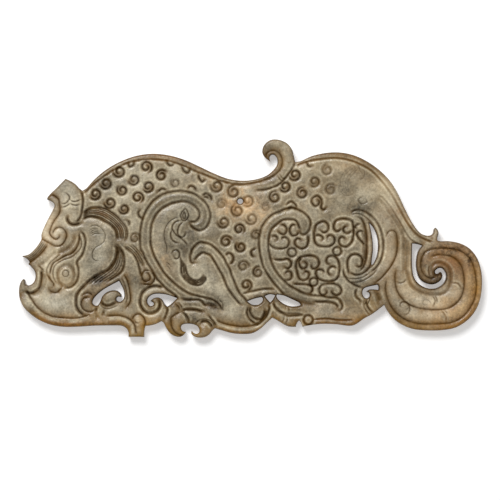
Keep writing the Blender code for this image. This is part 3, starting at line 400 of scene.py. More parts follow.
# Folds round the long slit behind it.
slitLines = [
    ("main", [(358.8, 216.5), (362.2, 220), (364.8, 225.5), (366.1, 233), (366.6, 243), (366.4, 253),
        (365.2, 261), (362.8, 267), (359.8, 270.5)]),
    ("main", [(351, 212.3), (354.5, 210.2), (360.5, 210), (366.5, 212.5), (372.5, 217), (377.5, 223.5),
        (381, 231.5), (382.8, 240.5), (382.7, 250.5), (380.5, 259.5), (376.5, 266.5), (371, 271.5)]),
    ("fine", [(351.8, 214.3), (357.8, 213.4), (363.8, 216.2), (369.8, 221), (374.6, 228.5), (377.8, 237.5),
        (378.8, 246.5), (377.8, 254.5), (375.1, 262), (370.2, 268)]),
    ("main", [(349.8, 272.2), (354.2, 274.4), (359.2, 274.4), (364.2, 272), (368.8, 267.6), (370.8, 263.5)]),
    ("main", [(343, 269), (343.3, 273), (345.5, 277.5), (350, 282), (356, 285.5), (362, 287.5)]),
    ("fine", [(344, 275), (349, 278.2), (356, 278.6), (363, 276.8), (368.6, 273.2)]),
    ("fine", [(346, 280.2), (353, 282.1), (360, 281.4), (367, 278.2), (373, 273.6), (376.6, 269.2)]),
    ("fine", [(356.5, 216), (361, 219), (364.5, 226), (365.5, 234)]),
    ("broad", [(363.4, 222), (365.2, 232), (365.6, 244), (364.6, 255), (362.4, 264)]),
]

# The hip and the root of the tail.
hipLines = [
    ("brown", [(386.6, 235), (388.1, 231.8), (391.6, 230.2), (395.1, 232), (396.6, 237), (397.1, 245),
        (396.2, 253), (393.8, 260), (389.9, 267), (385.2, 273), (380.2, 278.5), (374.8, 282.5)]),
    ("soft", [(380.2, 199.1), (384.2, 203.9), (389.2, 210.5), (394.2, 217.5), (399.2, 225.5), (402.6, 232.5),
        (403.6, 239.5), (403.6, 251.5), (403.6, 263.5), (404.4, 271.5)]),
    ("fine", [(378.5, 195.8), (382, 197), (386, 201.5), (391, 208), (396.5, 216.5), (401.5, 225),
        (405.6, 232.5), (410, 238.6), (415.4, 242.4), (420.8, 244.6)]),
    ("soft", [(405.9, 239), (407.1, 247), (406.9, 257), (406.6, 267), (407.8, 276), (410.8, 284.5),
        (416.8, 289.8), (424.8, 293), (432.8, 294.6), (440.8, 293.8), (446.6, 290.4), (449.6, 284),
        (450.6, 277), (449.8, 270.6), (447.1, 266), (442.8, 263.2), (437.8, 262.4), (433.4, 264.2),
        (430.8, 268), (430.6, 273)]),
]

# The curled tail.
tailLines = [
    ("tail", [(395.6, 270.5), (394.7, 276), (395.2, 284), (397.3, 291.5), (401.5, 298), (408, 303.7),
        (416, 307.2), (425, 309), (435, 309.6), (445, 308.7), (452, 306), (458, 301), (462, 294),
        (463.8, 285), (463.5, 275), (461.5, 267), (457.5, 260.8), (451.5, 256.5), (444, 254.8), (437, 254.6),
        (431.8, 256.4)]),
    ("tail", [(386.2, 280), (385.2, 287), (386.2, 294.5), (388.5, 301.5), (392, 308), (397, 313.7),
        (403, 318.2), (410, 321.5), (419, 323.4), (430, 323.9), (441, 323.4), (451, 322.3), (459, 319),
        (465.5, 313.5), (470.5, 306.5), (474.3, 298.5), (476, 289), (475.8, 279), (474.3, 270),
        (471.5, 261.8), (466.5, 255), (459.5, 250.6), (451, 248.6), (441, 248), (432, 248.8), (425.5, 251.5),
        (421.8, 257), (420.4, 264), (421.6, 270.5), (425, 275.5), (430, 278), (434, 277.2)]),
    ("fine", [(432, 296), (434.4, 299), (434.6, 302), (432.8, 306)]),
    ("fine", [(434.4, 295.6), (436.6, 299), (436.6, 303)]),
    ("fine", [(452, 283), (456.5, 283), (459.5, 285.5), (461, 289)]),
    ("fine", [(441.5, 310.8), (444, 313.5), (445.5, 317), (446, 321)]),
    ("fine", [(444.5, 310.4), (447, 313.5)]),
    ("fine", [(400.5, 307), (400, 304), (402, 301.8), (405.5, 302.2), (408.5, 305), (409.5, 309), (408, 313),
        (404.5, 315)]),
    ("hair", [(406, 310), (408, 307.5)]),
]

# Half curls by the bands, and worn marks: kind of cut, strength, lines.
extraLines = {
    "halfCurls": ("curl", 0.95, [
        [(157.5, 192), (162, 188.5), (166.5, 190.5)],
        [(187.5, 189), (190, 186), (194, 187), (196, 190.5)],
        [(128, 163), (129.5, 166.5), (133, 165), (134.5, 161.5)],
        [(166.5, 161), (168, 164), (171, 165.5), (174, 163.5)],
        [(181.5, 166), (184, 171), (188, 172.5), (190, 168)],
        [(198.5, 174), (199, 178), (202, 181.5), (205, 179)],
        [(306.5, 162.5), (308.5, 166), (312, 166)],
        [(202, 196), (206, 193.5), (210.5, 196.5), (211.5, 201)],
        [(203, 197.5), (206.5, 197), (208.5, 199.5)],
        [(256, 248), (251, 251), (252, 255.5), (255, 256.5)],
        [(225, 255.5), (229, 252.8), (233, 256.5), (232, 262), (229, 264)],
        [(126, 220), (129, 222), (128.5, 226)],
        [(140, 209.5), (138, 213), (140, 217), (143, 218)],
        [(326, 207.5), (323.5, 209.5), (320.8, 207.5), (321.6, 203), (320.5, 198.5), (317, 195.8),
         (312.5, 198), (311.5, 202), (314.5, 205.8), (318, 204.5), (319, 201.5), (317, 199.5)],
    ]),
    "hipWear": ("hair", 0.55, [
        [(341, 192), (344, 195), (348, 195.5), (352, 194)],
        [(355, 164), (358.5, 166.5), (360, 171), (363, 174)],
        [(361, 168), (364, 171), (364, 176), (361, 179), (357.5, 178)],
        [(369, 186), (370.5, 183), (374, 183), (376, 186.5), (374.5, 190), (371, 190)],
    ]),
    "hipHook": ("fine", 0.95, [
        [(367, 201.3), (365, 203), (361.5, 203.7), (358.5, 201.3), (358.7, 198.6), (361.7, 197)],
    ]),
    "tailMarks": ("fine", 0.95, [
        [(429.5, 276), (428.2, 270), (429, 264.5)],
        [(397, 281.5), (400, 283), (404, 281.5), (405.5, 279)],
    ]),
    "tailCurl": ("hair", 0.55, [
        [(427, 303.5), (424.5, 305), (422.5, 303), (423.5, 300), (426.5, 299.2), (429, 301), (431, 303.5)],
    ]),
}

# Whole curls of the coat: middle, radius, start in degrees, strength.
curlSpots = [
    (95.3, 193.8, 5.9, 215, 1), (105.8, 183.2, 5.9, 200, 1), (119.1, 171.4, 6.1, 180, 1),
    (133.8, 179.4, 5.6, 200, 1), (122.2, 190, 5.4, 140, 1), (146, 166.8, 6.1, 300, 1),
    (161.4, 175.4, 5.8, 40, 1), (148, 186.4, 5.9, 220, 1), (137.6, 197.3, 5.9, 310, 1),
    (110, 202.6, 6, 185, 1), (123.8, 208.8, 5.2, 185, 1), (175.2, 182.5, 4.7, 120, 0.6),
    (216.7, 185.8, 6.3, 180, 0.9), (233.7, 191.8, 6.6, 80, 0.8), (221.5, 204, 5.5, 350, 0.5),
    (247.5, 200.5, 6, 240, 0.7), (237.3, 210.4, 6.4, 120, 0.8), (223.4, 222, 6.1, 180, 0.9),
    (251.1, 218.5, 6.1, 200, 0.7), (239, 229, 5.5, 320, 1), (266, 207, 4.6, 40, 0.4),
    (274.7, 197, 6.2, 70, 0.9), (284.9, 186.4, 5.7, 200, 1), (226, 241.4, 5.9, 20, 1),
    (240.6, 246.7, 5.5, 140, 1), (243.1, 266.1, 5.7, 350, 0.7), (258, 272, 5.7, 60, 0.8),
    (246.1, 284.8, 5.7, 280, 1), (294.7, 174.5, 6.1, 200, 1), (314.1, 181.4, 5.4, 220, 0.8),
    (302.3, 193, 5.8, 80, 0.9), (330.7, 189.5, 5.9, 40, 0.5), (327.2, 169.9, 5.4, 100, 0.5),
    (134.8, 238, 5.3, 0, 0.7), (255.7, 234.8, 5, 40, 0.7),
]

ringSpots = [(291.7, 252.2, 4.3), (336.9, 251, 4.2), (313.5, 281.7, 4.0), (308, 319.7, 4.6)]
pitSpots = [(301.4, 305.3), (150.6, 301.2), (269.9, 303.3)]

# Half width, depth in mm, darkness, reach of the slope beside it, its depth in mm, how much soil and painted
# shade lie beside it.
cutKinds = {
    "deep": (1.9, 0.6, 1.0, 5.5, 0.34, 0.68),
    "main": (1.45, 0.46, 0.94, 4.6, 0.28, 0.55),
    "soft": (2.1, 0.3, 0.42, 5.0, 0.3, 0.55),
    "broad": (3.4, 0.5, 0.6, 5.5, 0.2, 0.65),
    "rim": (1.05, 0.3, 0.66, 3.2, 0.16, 0.48),
    "fine": (0.95, 0.2, 0.66, 2.4, 0.06, 0.3),
    "line": (1.05, 0.17, 0.88, 1.7, 0.04, 0.25),
    "hair": (0.8, 0.1, 0.85, 1.2, 0.02, 0.12),
    "curl": (1.7, 0.4, 1.0, 3.8, 0.17, 0.66),
    "tail": (1.3, 0.42, 0.86, 4.6, 0.3, 0.66),
    "brown": (1.35, 0.36, 0.98, 4.2, 0.24, 0.74),
    "ledge": (1.6, 0, 1.0, 1.5, 0.22, 0),
    "sheen": (2.4, 0, 0.7, 3.0, 0.08, 0),
}
raisedKinds = ("ledge", "sheen")
brownKinds = ("brown", "tail", "rim")
plainKinds = ("hair", "tail", "brown")  # no lighter ridge beside them, from wear or painted highlight

# Heights and drops in mm, reaches and slopes in drawing units.
relief = {
    "face": 5.2, "mostRise": 0.5, "edgeRound": 2.6, "edgeDrop": 0.7,
    "bandRise": 0.38, "bandSlope": 3.2, "bandEdge": 3.0, "bandSoil": 0.55,
    "hollowDrop": 0.14, "hollowSlope": 2.5, "hollowSoil": 1.5,
    "stripDrop": 0.12, "stripReach": 8.4, "stripSlope": 1.6, "rimSearch": 9, "rimEnd": 4,
    "domeGain": 1.4, "pitDrop": 0.3, "pitReach": 1.1, "pitDark": 0.9, "pitDarkReach": 1.2,
    "edgeSteep": 0.98, "backRound": 1.6, "backDrop": 0.35, "backWave": 0.05, "backWaveSize": (31, 23),
    "wallHeights": (3.9, 2.6, 1.3),
}

# How soil, wear, painted shade and painted highlights lie in and beside a cut, and along the edges.
soilWearAndPaintedLight = {
    "slopeMargin": 2.2, "endShare": 0.35, "endReach": 2.5, "darkWidth": 0.66, "soilReach": 0.62,
    "hazeFrom": 0.25, "haze": 0.3, "hazeReach": 7, "ridgeAt": 1.1, "ridgeWidth": 0.9,
    "curlSoil": 0.3, "curlShare": 0.85, "edgeDark": 0.52, "edgeReach": 0.95, "edgeFrom": (300, 20),
    "openDark": 0.8, "openReach": 1.1, "tailDark": 0.2, "tailReach": 2.4, "tailSpot": (427, 276, 15, 11),
    "wallSoil": 0.4, "backSoil": 0.15, "rimShare": 0.75, "rimReach": 2.6, "goldFrom": (296, 24),
    "goldReach": 6, "calmRim": 0.75, "backShare": 0.3, "least": -0.6,
}

# Steps between points, and the least gaps to others and to the edge, in drawing units.
spacing = {
    "row": 0.85, "loop": 1.0, "grid": 1.32, "back": 5.0, "rowGap": 0.56, "rowEdge": 0.75, "gridEdge": 0.8,
    "gridGap": 0.85, "hairSide": 0.7, "sideShare": 0.9, "sidePast": 0.8, "rimSide": 1.8, "rimEdge": 1.3,
    "rimGap": 1.2, "backEdge": 3.2, "ledgeSide": 3.0, "ledgeShare": 0.9,
}
curlShape = {"turn": 475, "core": 1.7, "tightening": 1.1, "points": 23}


def asSheet(points):  # y up from here on
    sheet = np.array(points, float)
    sheet[:, 1] *= -1
    return sheet


def evenly(line, at, lengths):
    return np.column_stack([np.interp(at, lengths, line[:, 0]), np.interp(at, lengths, line[:, 1])])


def smoothLine(points, step):
    p = asSheet(points)
    if len(p) > 2:
        p = np.vstack([p[0], p, p[-1]])
        shares = np.linspace(0, 1, 9)[:-1, None]
        parts = []
        for a, b, c, d in zip(p, p[1:], p[2:], p[3:]):
            parts.append((2 * b + (c - a) * shares + (2 * a - 5 * b + 4 * c - d) * shares**2
                          + (3 * b - a - 3 * c + d) * shares**3) / 2)
        p = np.vstack([*parts, p[-1:]])
    lengths = np.r_[0, np.cumsum(np.hypot(*np.diff(p, axis=0).T))]
    count = max(2, int(round(lengths[-1] / step)) + 1)
    return evenly(p, np.linspace(0, lengths[-1], count), lengths)


def smoothLoop(runs, step):
    runs = list(runs)
    before = [runs[-1], *runs[:-1]]
    return np.vstack([smoothLine([last[-1], *run], step)[:-1] for last, run in zip(before, runs)])


def insideLoops(spots, loops):
    found = np.zeros(len(spots), bool)
    x, y = spots.T
    for loop in loops:
        for (ax, ay), (bx, by) in zip(loop, np.roll(loop, -1, axis=0)):
            if ay == by:
                continue
            near = np.flatnonzero((ay > y) != (by > y))
            found[near[x[near] < (bx - ax) * (y[near] - ay) / (by - ay) + ax]] ^= True
    return found


def treeOf(spots):
    tree = KDTree(len(spots))
    for i, (x, y) in enumerate(spots):
        tree.insert((x, y, 0), i)
    tree.balance()
    return tree


def reachTo(tree, spots):
    return np.array([tree.find((x, y, 0))[2] for x, y in spots])


def lineDistance(spots, line):  # distance to the line, and how far along it
    a, b = line[:-1], line[1:]
    step = b - a
    size = np.maximum((step**2).sum(1), 1e-9)
    best = np.full(len(spots), 1e9)
    along = np.zeros(len(spots))
    for i in range(len(a)):
        off = spots - a[i]
        t = np.clip(off @ step[i] / size[i], 0, 1)
        d = ((off - t[:, None] * step[i]) ** 2).sum(1)
        nearer = d < best
        best[nearer] = d[nearer]
        along[nearer] = i + t[nearer]
    return np.sqrt(best), along


def sideWays(way):
    side = np.column_stack([-way[:, 1], way[:, 0]])
    return side / np.maximum(np.hypot(*side.T), 1e-9)[:, None]


def besideLine(line, gap):
    return line + gap * sideWays(np.gradient(line, axis=0))


def curlLine(x, y, radius, start):
    shares = np.linspace(0, 1, curlShape["points"])
    angles = np.radians(start + curlShape["turn"] * shares)
    reach = radius + (curlShape["core"] - radius) * shares ** curlShape["tightening"]
    return list(zip(x + reach * np.cos(angles), y - reach * np.sin(angles)))


def ringLine(x, y, radius):
    turn = np.linspace(0, 2 * math.pi, 19)
    return list(zip(x + radius * np.cos(turn), y + radius * np.sin(turn)))


def linesBetween(first, last, shares):  # hatching that runs with both
    steps = np.linspace(0, 1, 40)
    first, last = [smoothLine(line, 1.0) for line in (first, last)]
    a, b = [evenly(line, steps, np.linspace(0, 1, len(line))) for line in (first, last)]
    return [[(x, -y) for x, y in (a + (b - a) * share)[::3]] for share in shares]


maneOuter, maneInner = headLines["maneOuter"][1], headLines["maneInner"][1]
cheekEdge, lockEdge = headLines["cheekEdge"][1][:10], headLines["lockEdge"][1]
featherOuter, featherInner = shoulderLines["featherOuter"][1], shoulderLines["featherInner"][1]
strandOuter, strandInner = chestLines["strandOuter"][1][:5], chestLines["strandInner"][1]

# Hatching: the lines it runs between, its strength, and the share of the way of each line.
hatching = [
    (maneOuter, maneInner, 1.0, (0.17, 0.34, 0.51, 0.68, 0.85)),
    ([(354, 164), (349.4, 167.4), (344.4, 171.3), (341, 177), (340, 182.4), (341.7, 189), (345.5, 194)],
     [(358, 168), (354.4, 173), (349.6, 178), (347.6, 183.5), (348.3, 190), (350, 194)],
     0.36, (0.01, 0.34, 0.67, 0.99)),
    (cheekEdge, lockEdge, 1.0, (0.2, 0.4, 0.6, 0.8)),
    (featherOuter, featherInner, 1.0, (0.2, 0.4, 0.6, 0.8)),
    ([(41.5, 240.5), (36.5, 247.5), (31, 253.5), (24, 257)], headLines["noseBand"][1],
     1.0, (0.25, 0.5, 0.75)),
    (strandOuter, strandInner, 1.0, (0.33, 0.66)),
    ([(89, 229.5), (93, 227.2), (98.5, 227.8)], [(91.5, 236.5), (96, 234.5), (102, 235)],
     1.0, (0.15, 0.38, 0.61, 0.84)),
    ([(361.5, 291), (362.5, 299), (360, 307)], [(371.5, 289), (373, 298), (370, 306)], 1.0, (0.35, 0.65)),
]


def gatherLines():
    found = []
    for group in (rimLines, headLines, chestLines, shoulderLines, footLines, haunchLines):
        found += [(kind, 1.0, run) for kind, run in group.values()]
    found += [("curl", 1.0, run) for run in scrollLines]
    for group in (slitLines, hipLines, tailLines):
        found += [(kind, 1.0, run) for kind, run in group]
    for kind, strength, runs in extraLines.values():
        found += [(kind, strength, run) for run in runs]
    found += [("curl", strength, curlLine(x, y, r, start)) for x, y, r, start, strength in curlSpots]
    found += [("main", 1.0, ringLine(*spot)) for spot in ringSpots]
    for first, last, strength, shares in hatching:
        found += [("hair", strength, line) for line in linesBetween(first, last, shares)]
    return [(kind, strength, smoothLine(run, spacing["row"])) for kind, strength, run in found]


outline = smoothLoop(outlineRuns.values(), spacing["loop"])
openings = [smoothLoop(runs, spacing["loop"]) for runs in openingRuns.values()]
openings.append(asSheet(ringLine(*holeSpot))[:-1])
loops = [outline, *openings]
edgeTree = treeOf(np.vstack([np.vstack([loop, (loop + np.roll(loop, -1, axis=0)) / 2]) for loop in loops]))
openTree = treeOf(np.vstack(openings))

cuts = gatherLines()
for kind, strength, line in list(cuts):  # a ledge has a soft hollow on its inner side, a brown line that is partly painted shade
    if kind == "ledge":
        sides = [besideLine(line, gap) for gap in (-spacing["ledgeSide"], spacing["ledgeSide"])]
        inner = max(sides, key=lambda side: reachTo(edgeTree, side).mean())
        cuts.append(("brown", spacing["ledgeShare"], inner))

low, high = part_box(pendantNode)
sheetLow, sheetHigh = outline.min(0), outline.max(0)
scale = (high.x - low.x) / (sheetHigh[0] - sheetLow[0])
print("sheet scale", round(scale * 1000, 4), "mm,", len(cuts), "cuts")


def cutRows():
    rows = [line for kind, strength, line in cuts]
    for kind, strength, line in cuts:
        half = cutKinds[kind][0]
        wide = (half * spacing["sideShare"], half + spacing["sidePast"])
        for offset in (spacing["hairSide"],) if kind == "hair" else wide:
            rows += [besideLine(line, offset), besideLine(line, -offset)]
    return np.vstack(rows)


def thinned(spots, gap):
    taken = {}
    kept = []
    for i, (x, y) in enumerate(spots.tolist()):
        cx, cy = int(x / gap // 1), int(y / gap // 1)
        clear = True
        for nx in (cx - 1, cx, cx + 1):
            for ny in (cy - 1, cy, cy + 1):
                other = taken.get((nx, ny))
                if other and (other[0] - x) ** 2 + (other[1] - y) ** 2 < gap * gap:
                    clear = False
        if clear:
            taken[(cx, cy)] = (x, y)
            kept.append(i)
    return spots[kept]


def hexGrid(step):
    rows = []
    for i, y in enumerate(np.arange(sheetLow[1], sheetHigh[1], step * math.sqrt(3) / 2)):
        xs = np.arange(sheetLow[0] + (i % 2) * step / 2, sheetHigh[0], step)
        rows.append(np.column_stack([xs, np.full(len(xs), y)]))
    return np.vstack(rows)


def onPendant(spots, gap):  # those inside the outline and this far from every edge
    spots = spots[reachTo(edgeTree, spots) > gap]
    return spots[insideLoops(spots, loops)]


def facePoints():
    rows = thinned(onPendant(cutRows(), spacing["rowEdge"]), spacing["rowGap"])
    grid = onPendant(hexGrid(spacing["grid"]), spacing["gridEdge"])
    return np.vstack([rows, grid[reachTo(treeOf(rows), grid) > spacing["gridGap"]]])


def backPoints():
    ways = [(loop, sideWays(np.roll(loop, -1, axis=0) - np.roll(loop, 1, axis=0))) for loop in loops]
    gaps = (-spacing["rimSide"], spacing["rimSide"])
    rims = np.vstack([(loop + gap * side)[::2] for loop, side in ways for gap in gaps])
    rims = thinned(onPendant(rims, spacing["rimEdge"]), spacing["rimGap"])
    return np.vstack([rims, onPendant(hexGrid(spacing["back"]), spacing["backEdge"])])


def triangulated(inner):  # loops first, so their points keep their numbers
    points = np.vstack([*loops, inner])
    lines, start = [], 0
    for loop in loops:
        count = len(loop)
        lines += [(start + i, start + (i + 1) % count) for i in range(count)]
        start += count
    found = delaunay_2d_cdt([Vector(p) for p in points.tolist()], lines, [], 1, 1e-5, False)
    spots, triangles = np.array([tuple(p) for p in found[0]]), np.array(found[2])
    return spots, triangles[insideLoops(spots[triangles].mean(1), loops)]


def smoothStep(x):
    x = np.clip(x, 0, 1)
    return x * x * (3 - 2 * x)


def falloff(far, reach, power=2):
    return np.exp(-((far / reach) ** power))


def softSpot(spots, x, y, across, along):  # 1 in the middle, fading outward
    return np.exp(-(((spots[:, 0] - x) / across) ** 2) - ((spots[:, 1] + y) / along) ** 2)


def nearby(spots, line, margin=0):
    return np.flatnonzero(((spots > line.min(0) - margin) & (spots < line.max(0) + margin)).all(1))


def closedLine(run):
    loop = smoothLine(run, 1.0)
    return np.vstack([loop, loop[:1]])


bandLoops = {
    "shoulder": [*shoulderLines["bandOuter"][1], *shoulderLines["bandInner"][1], (207.2, 305.3),
                 (199.5, 299.6), (188.2, 299.6), (182.1, 298.6)],
    "foreleg": [*shoulderLines["strapOuter"][1], *shoulderLines["strapInner"][1][::-1]],
    "haunch": [*haunchLines["bandOuter"][1], (290, 298), (300.2, 300.4), (307.1, 302.1), (315.8, 302.4),
               (326.3, 301.6), (335.3, 303.8), *haunchLines["bandInner"][1][::-1]],
}
bandDim = {"shoulder": 0.75, "foreleg": 0.3, "haunch": 0.35}
# Hatched hollows: outline, darkness.
hollows = [
    ([*maneOuter, *maneInner[::-1]], 0.42), ([*cheekEdge, *lockEdge[::-1]], 0.2),
    ([*featherOuter, *featherInner[::-1]], 0.5),
    ([(124.9, 247.1), (133.2, 254.1), (139, 267), (146, 261.2), (139.6, 252.2), (131.3, 243.8)], 0.25),
]
# Middle, reach across and along, rise in mm.
domes = [
    (99, 258, 17, 20, 0.34), (66, 275, 8, 9, 0.22), (57, 233.5, 5, 5, 0.16), (34, 300, 14, 12, 0.12),
    (84, 232, 6, 12, 0.1), (178, 240, 18, 26, 0.1), (215, 285, 16, 16, 0.14), (310, 250, 34, 30, 0.16),
    (86, 303, 5, 6, 0.12), (110, 298, 7, 5, 0.16), (149, 300, 4, 4, 0.1), (257, 312, 7, 8, 0.2),
    (180, 322, 6, 7, 0.15), (205, 330, 6, 5, 0.12), (372, 244, 4, 18, -0.1), (386, 252, 6, 20, 0.1),
]


def endFade(line, along):
    if np.hypot(*(line[0] - line[-1])) < 0.5:  # a ring has no ends
        return np.ones(len(along))
    fromEnd = np.minimum(along, len(line) - 1 - along) * spacing["row"]
    return soilWearAndPaintedLight["endShare"] + (1 - soilWearAndPaintedLight["endShare"]) * smoothStep(fromEnd / soilWearAndPaintedLight["endReach"])


def cutMarks(spots):
    marks = {name: np.zeros(len(spots)) for name in ("lowered", "slope", "recess", "umber", "wornAndHighlight", "haze")}
    clearOfSoilAndShade = np.ones(len(spots))

    def atLeast(name, near, values):
        marks[name][near] = np.maximum(marks[name][near], values)

    for kind, strength, line in cuts:
        half, depth, dark, reach, slopeDepth, soiling = cutKinds[kind]
        near = nearby(spots, line, soilWearAndPaintedLight["slopeMargin"] * reach)
        far, along = lineDistance(spots[near], line)
        cut = strength * endFade(line, along)
        # Ledge and sheen lines are painted highlights along a ridge, with a slight rise.
        if kind in raisedKinds:
            atLeast("wornAndHighlight", near, dark * cut * falloff(far, half))
            marks["slope"][near] -= slopeDepth * falloff(far, reach)
            continue
        atLeast("lowered", near, depth * cut * np.clip(1 - far / half, 0, 1))
        atLeast("slope", near, slopeDepth * strength * falloff(far, reach))
        atLeast("umber" if kind in brownKinds else "recess", near,
                dark * cut * falloff(far, soilWearAndPaintedLight["darkWidth"] * half))
        # Brown beside the cut: soil, and painted shade standing in for the groove's shade; the haze widens
        # it round deep cuts.
        clearOfSoilAndShade[near] *= 1 - soiling * strength * falloff(far, soilWearAndPaintedLight["soilReach"] * reach)
        if depth > soilWearAndPaintedLight["hazeFrom"]:
            atLeast("haze", near, soilWearAndPaintedLight["haze"] * strength * falloff(far, soilWearAndPaintedLight["hazeReach"]))
        # A lighter ridge beside the cut: partly wear, partly a painted highlight.
        if kind not in plainKinds:
            atLeast("wornAndHighlight", near, dark * cut * falloff(far - half - soilWearAndPaintedLight["ridgeAt"], soilWearAndPaintedLight["ridgeWidth"]))
    clearOfSoilAndShade *= 1 - marks["haze"]
    for x, y, r, start, strength in curlSpots:
        far = np.hypot(spots[:, 0] - x, spots[:, 1] + y)
        clearOfSoilAndShade *= 1 - soilWearAndPaintedLight["curlSoil"] * strength * falloff(far, soilWearAndPaintedLight["curlShare"] * r, 4)
    return marks, clearOfSoilAndShade


def rimStrip(spots, edge):  # the strip between the rim's line and the edge
    rimFar = np.full(len(spots), 99.0)
    for kind, strength, line in cuts:
        if kind in ("rim", "ledge"):
            near = nearby(spots, line, relief["rimSearch"])
            far, along = lineDistance(spots[near], line)
            far += relief["rimEnd"] * ((along < 0.5) | (along > len(line) - 1.5))
            rimFar[near] = np.minimum(rimFar[near], far)
    return smoothStep((relief["stripReach"] - rimFar - edge) / relief["stripSlope"])


def openingDark(spots):  # painted shade round the openings, darker and wider in the tail's scroll
    curled = softSpot(spots, *soilWearAndPaintedLight["tailSpot"])
    dark = soilWearAndPaintedLight["openDark"] + soilWearAndPaintedLight["tailDark"] * curled
    return dark * falloff(reachTo(openTree, spots), soilWearAndPaintedLight["openReach"] + soilWearAndPaintedLight["tailReach"] * curled)


def reliefOf(spots):  # the height of each spot, and its layers of paint
    marks, clearOfSoilAndShade = cutMarks(spots)
    edge = reachTo(edgeTree, spots)
    into = np.clip(1 - edge / relief["edgeRound"], 0, 1)
    height = (relief["face"] - relief["edgeDrop"] * (1 - np.sqrt(1 - into**2 * relief["edgeSteep"]))
              - marks["lowered"] - marks["slope"])
    dim = np.zeros(len(spots))
    for name, run in bandLoops.items():
        loop = closedLine(run)
        near = nearby(spots, loop)
        near = near[insideLoops(spots[near], [loop[:-1]])]
        body = smoothStep(lineDistance(spots[near], loop)[0] / relief["bandSlope"])
        height[near] += relief["bandRise"] * body * smoothStep(edge[near] / relief["bandEdge"])
        clearOfSoilAndShade[near] = 1 - (1 - clearOfSoilAndShade[near]) * (1 - relief["bandSoil"] * body)
        dim[near] = np.maximum(dim[near], bandDim[name] * body)
    for run, dark in hollows:
        loop = closedLine(run)
        near = nearby(spots, loop)
        near = near[insideLoops(spots[near], [loop[:-1]])]
        far, _ = lineDistance(spots[near], loop)
        height[near] -= relief["hollowDrop"] * smoothStep(far / relief["hollowSlope"])
        clearOfSoilAndShade[near] *= 1 - dark * smoothStep(far / relief["hollowSoil"])
    strip = rimStrip(spots, edge)
    height -= relief["stripDrop"] * strip
    for *place, rise in domes:
        height += relief["domeGain"] * rise * softSpot(spots, *place)
    recess = marks["recess"]
    for x, y in pitSpots:
        far = np.hypot(spots[:, 0] - x, spots[:, 1] + y)
        height -= relief["pitDrop"] * falloff(far, relief["pitReach"])
        recess = np.maximum(recess, relief["pitDark"] * falloff(far, relief["pitDarkReach"]))
    # A dark line painted along the edges of the upper part: painted shade.
    start, spread = soilWearAndPaintedLight["edgeFrom"]
    upper = smoothStep((start + spots[:, 1]) / spread)
    recess = np.maximum(recess, soilWearAndPaintedLight["edgeDark"] * falloff(edge, soilWearAndPaintedLight["edgeReach"]) * upper)
    recess = np.maximum(recess, openingDark(spots))
    wornAndHighlight = marks["wornAndHighlight"] * (1 - np.maximum(recess, marks["umber"]))
    height = np.minimum(height, relief["face"] + relief["mostRise"])
    return height, edge, {"recess": recess, "umber": marks["umber"], "soilAndShade": 1 - clearOfSoilAndShade, "rim": strip,
                          "dim": dim, "wornAndHighlight": wornAndHighlight}


facePlan, faceTriangles = triangulated(facePoints())
print("face", len(facePlan), "points", len(faceTriangles), "triangles")
faceHeight, faceEdge, facePaint = reliefOf(facePlan)

backPlan, backTriangles = triangulated(backPoints())
backEdge = reachTo(edgeTree, backPlan)
backInto = np.clip(1 - backEdge / relief["backRound"], 0, 1)
waves = 1 - np.cos(backPlan / relief["backWaveSize"]).prod(1)
backHeight = relief["backDrop"] * backInto**2 + relief["backWave"] * waves * (1 - backInto)
backHeight -= backHeight.min()

# One closed mesh: face, walls, back.
loopCount = sum(len(loop) for loop in loops)
faceCount = len(facePlan)
levels = len(relief["wallHeights"])
wallCount = levels * loopCount
backStart = faceCount + wallCount
plans = np.vstack([facePlan, *[facePlan[:loopCount]] * levels, backPlan])
heights = np.concatenate([faceHeight, np.repeat(relief["wallHeights"], loopCount), backHeight])

directed = np.vstack([faceTriangles[:, [0, 1]], faceTriangles[:, [1, 2]], faceTriangles[:, [2, 0]]])
known = set(map(tuple, directed.tolist()))
border = np.array([pair for pair in known if (pair[1], pair[0]) not in known])
a, b = border[np.lexsort(border.T)].T
rowStarts = [0, *range(faceCount, backStart + 1, loopCount)]
quads = []
for upper, lower in zip(rowStarts, rowStarts[1:]):
    quads += np.column_stack([upper + b, upper + a, lower + a, lower + b]).tolist()
backFaces = backStart + backTriangles[:, ::-1]

points = np.column_stack([(plans - (sheetLow + sheetHigh) / 2) * scale, heights / 1000])
points[:, 0] += (low.x + high.x) / 2
points[:, 1] += (low.y + high.y) / 2

mesh = bpy.data.meshes.new("jadeBeast")
mesh.from_pydata(points.tolist(), [], [*faceTriangles.tolist(), *quads, *backFaces.tolist()])
mesh.validate()
jadeBeast = bpy.data.objects.new("jadeBeast", mesh)
bpy.context.scene.collection.objects.link(jadeBeast)
mesh.polygons.foreach_set("use_smooth", np.ones(len(mesh.polygons), bool))


def wholeMesh(face, wall=0.0, back=0.0):
    return np.concatenate([face, np.full(wallCount, wall), np.full(len(backPlan), back)])


edge = np.concatenate([faceEdge, np.zeros(wallCount), backEdge])
paint = {name: wholeMesh(values) for name, values in facePaint.items()}
paint["soilAndShade"] = wholeMesh(facePaint["soilAndShade"], soilWearAndPaintedLight["wallSoil"], soilWearAndPaintedLight["backSoil"])
rimPaint = soilWearAndPaintedLight["rimShare"] * falloff(edge, soilWearAndPaintedLight["rimReach"])
paint["rim"] = np.maximum(rimPaint, wholeMesh(facePaint["rim"], 1.0, 1.0))
# Golden along the bottom edges: partly the stone's colour, partly a painted glow of light through the thin
# edge.
start, spread = soilWearAndPaintedLight["goldFrom"]
paint["goldAndGlow"] = smoothStep((-plans[:, 1] - start) / spread) * falloff(edge, soilWearAndPaintedLight["goldReach"])
for name in ("warm", "paleAndHighlight", "stainAndShadow", "brown", "tan", "light"):
    paint[name] = np.zeros(len(plans))
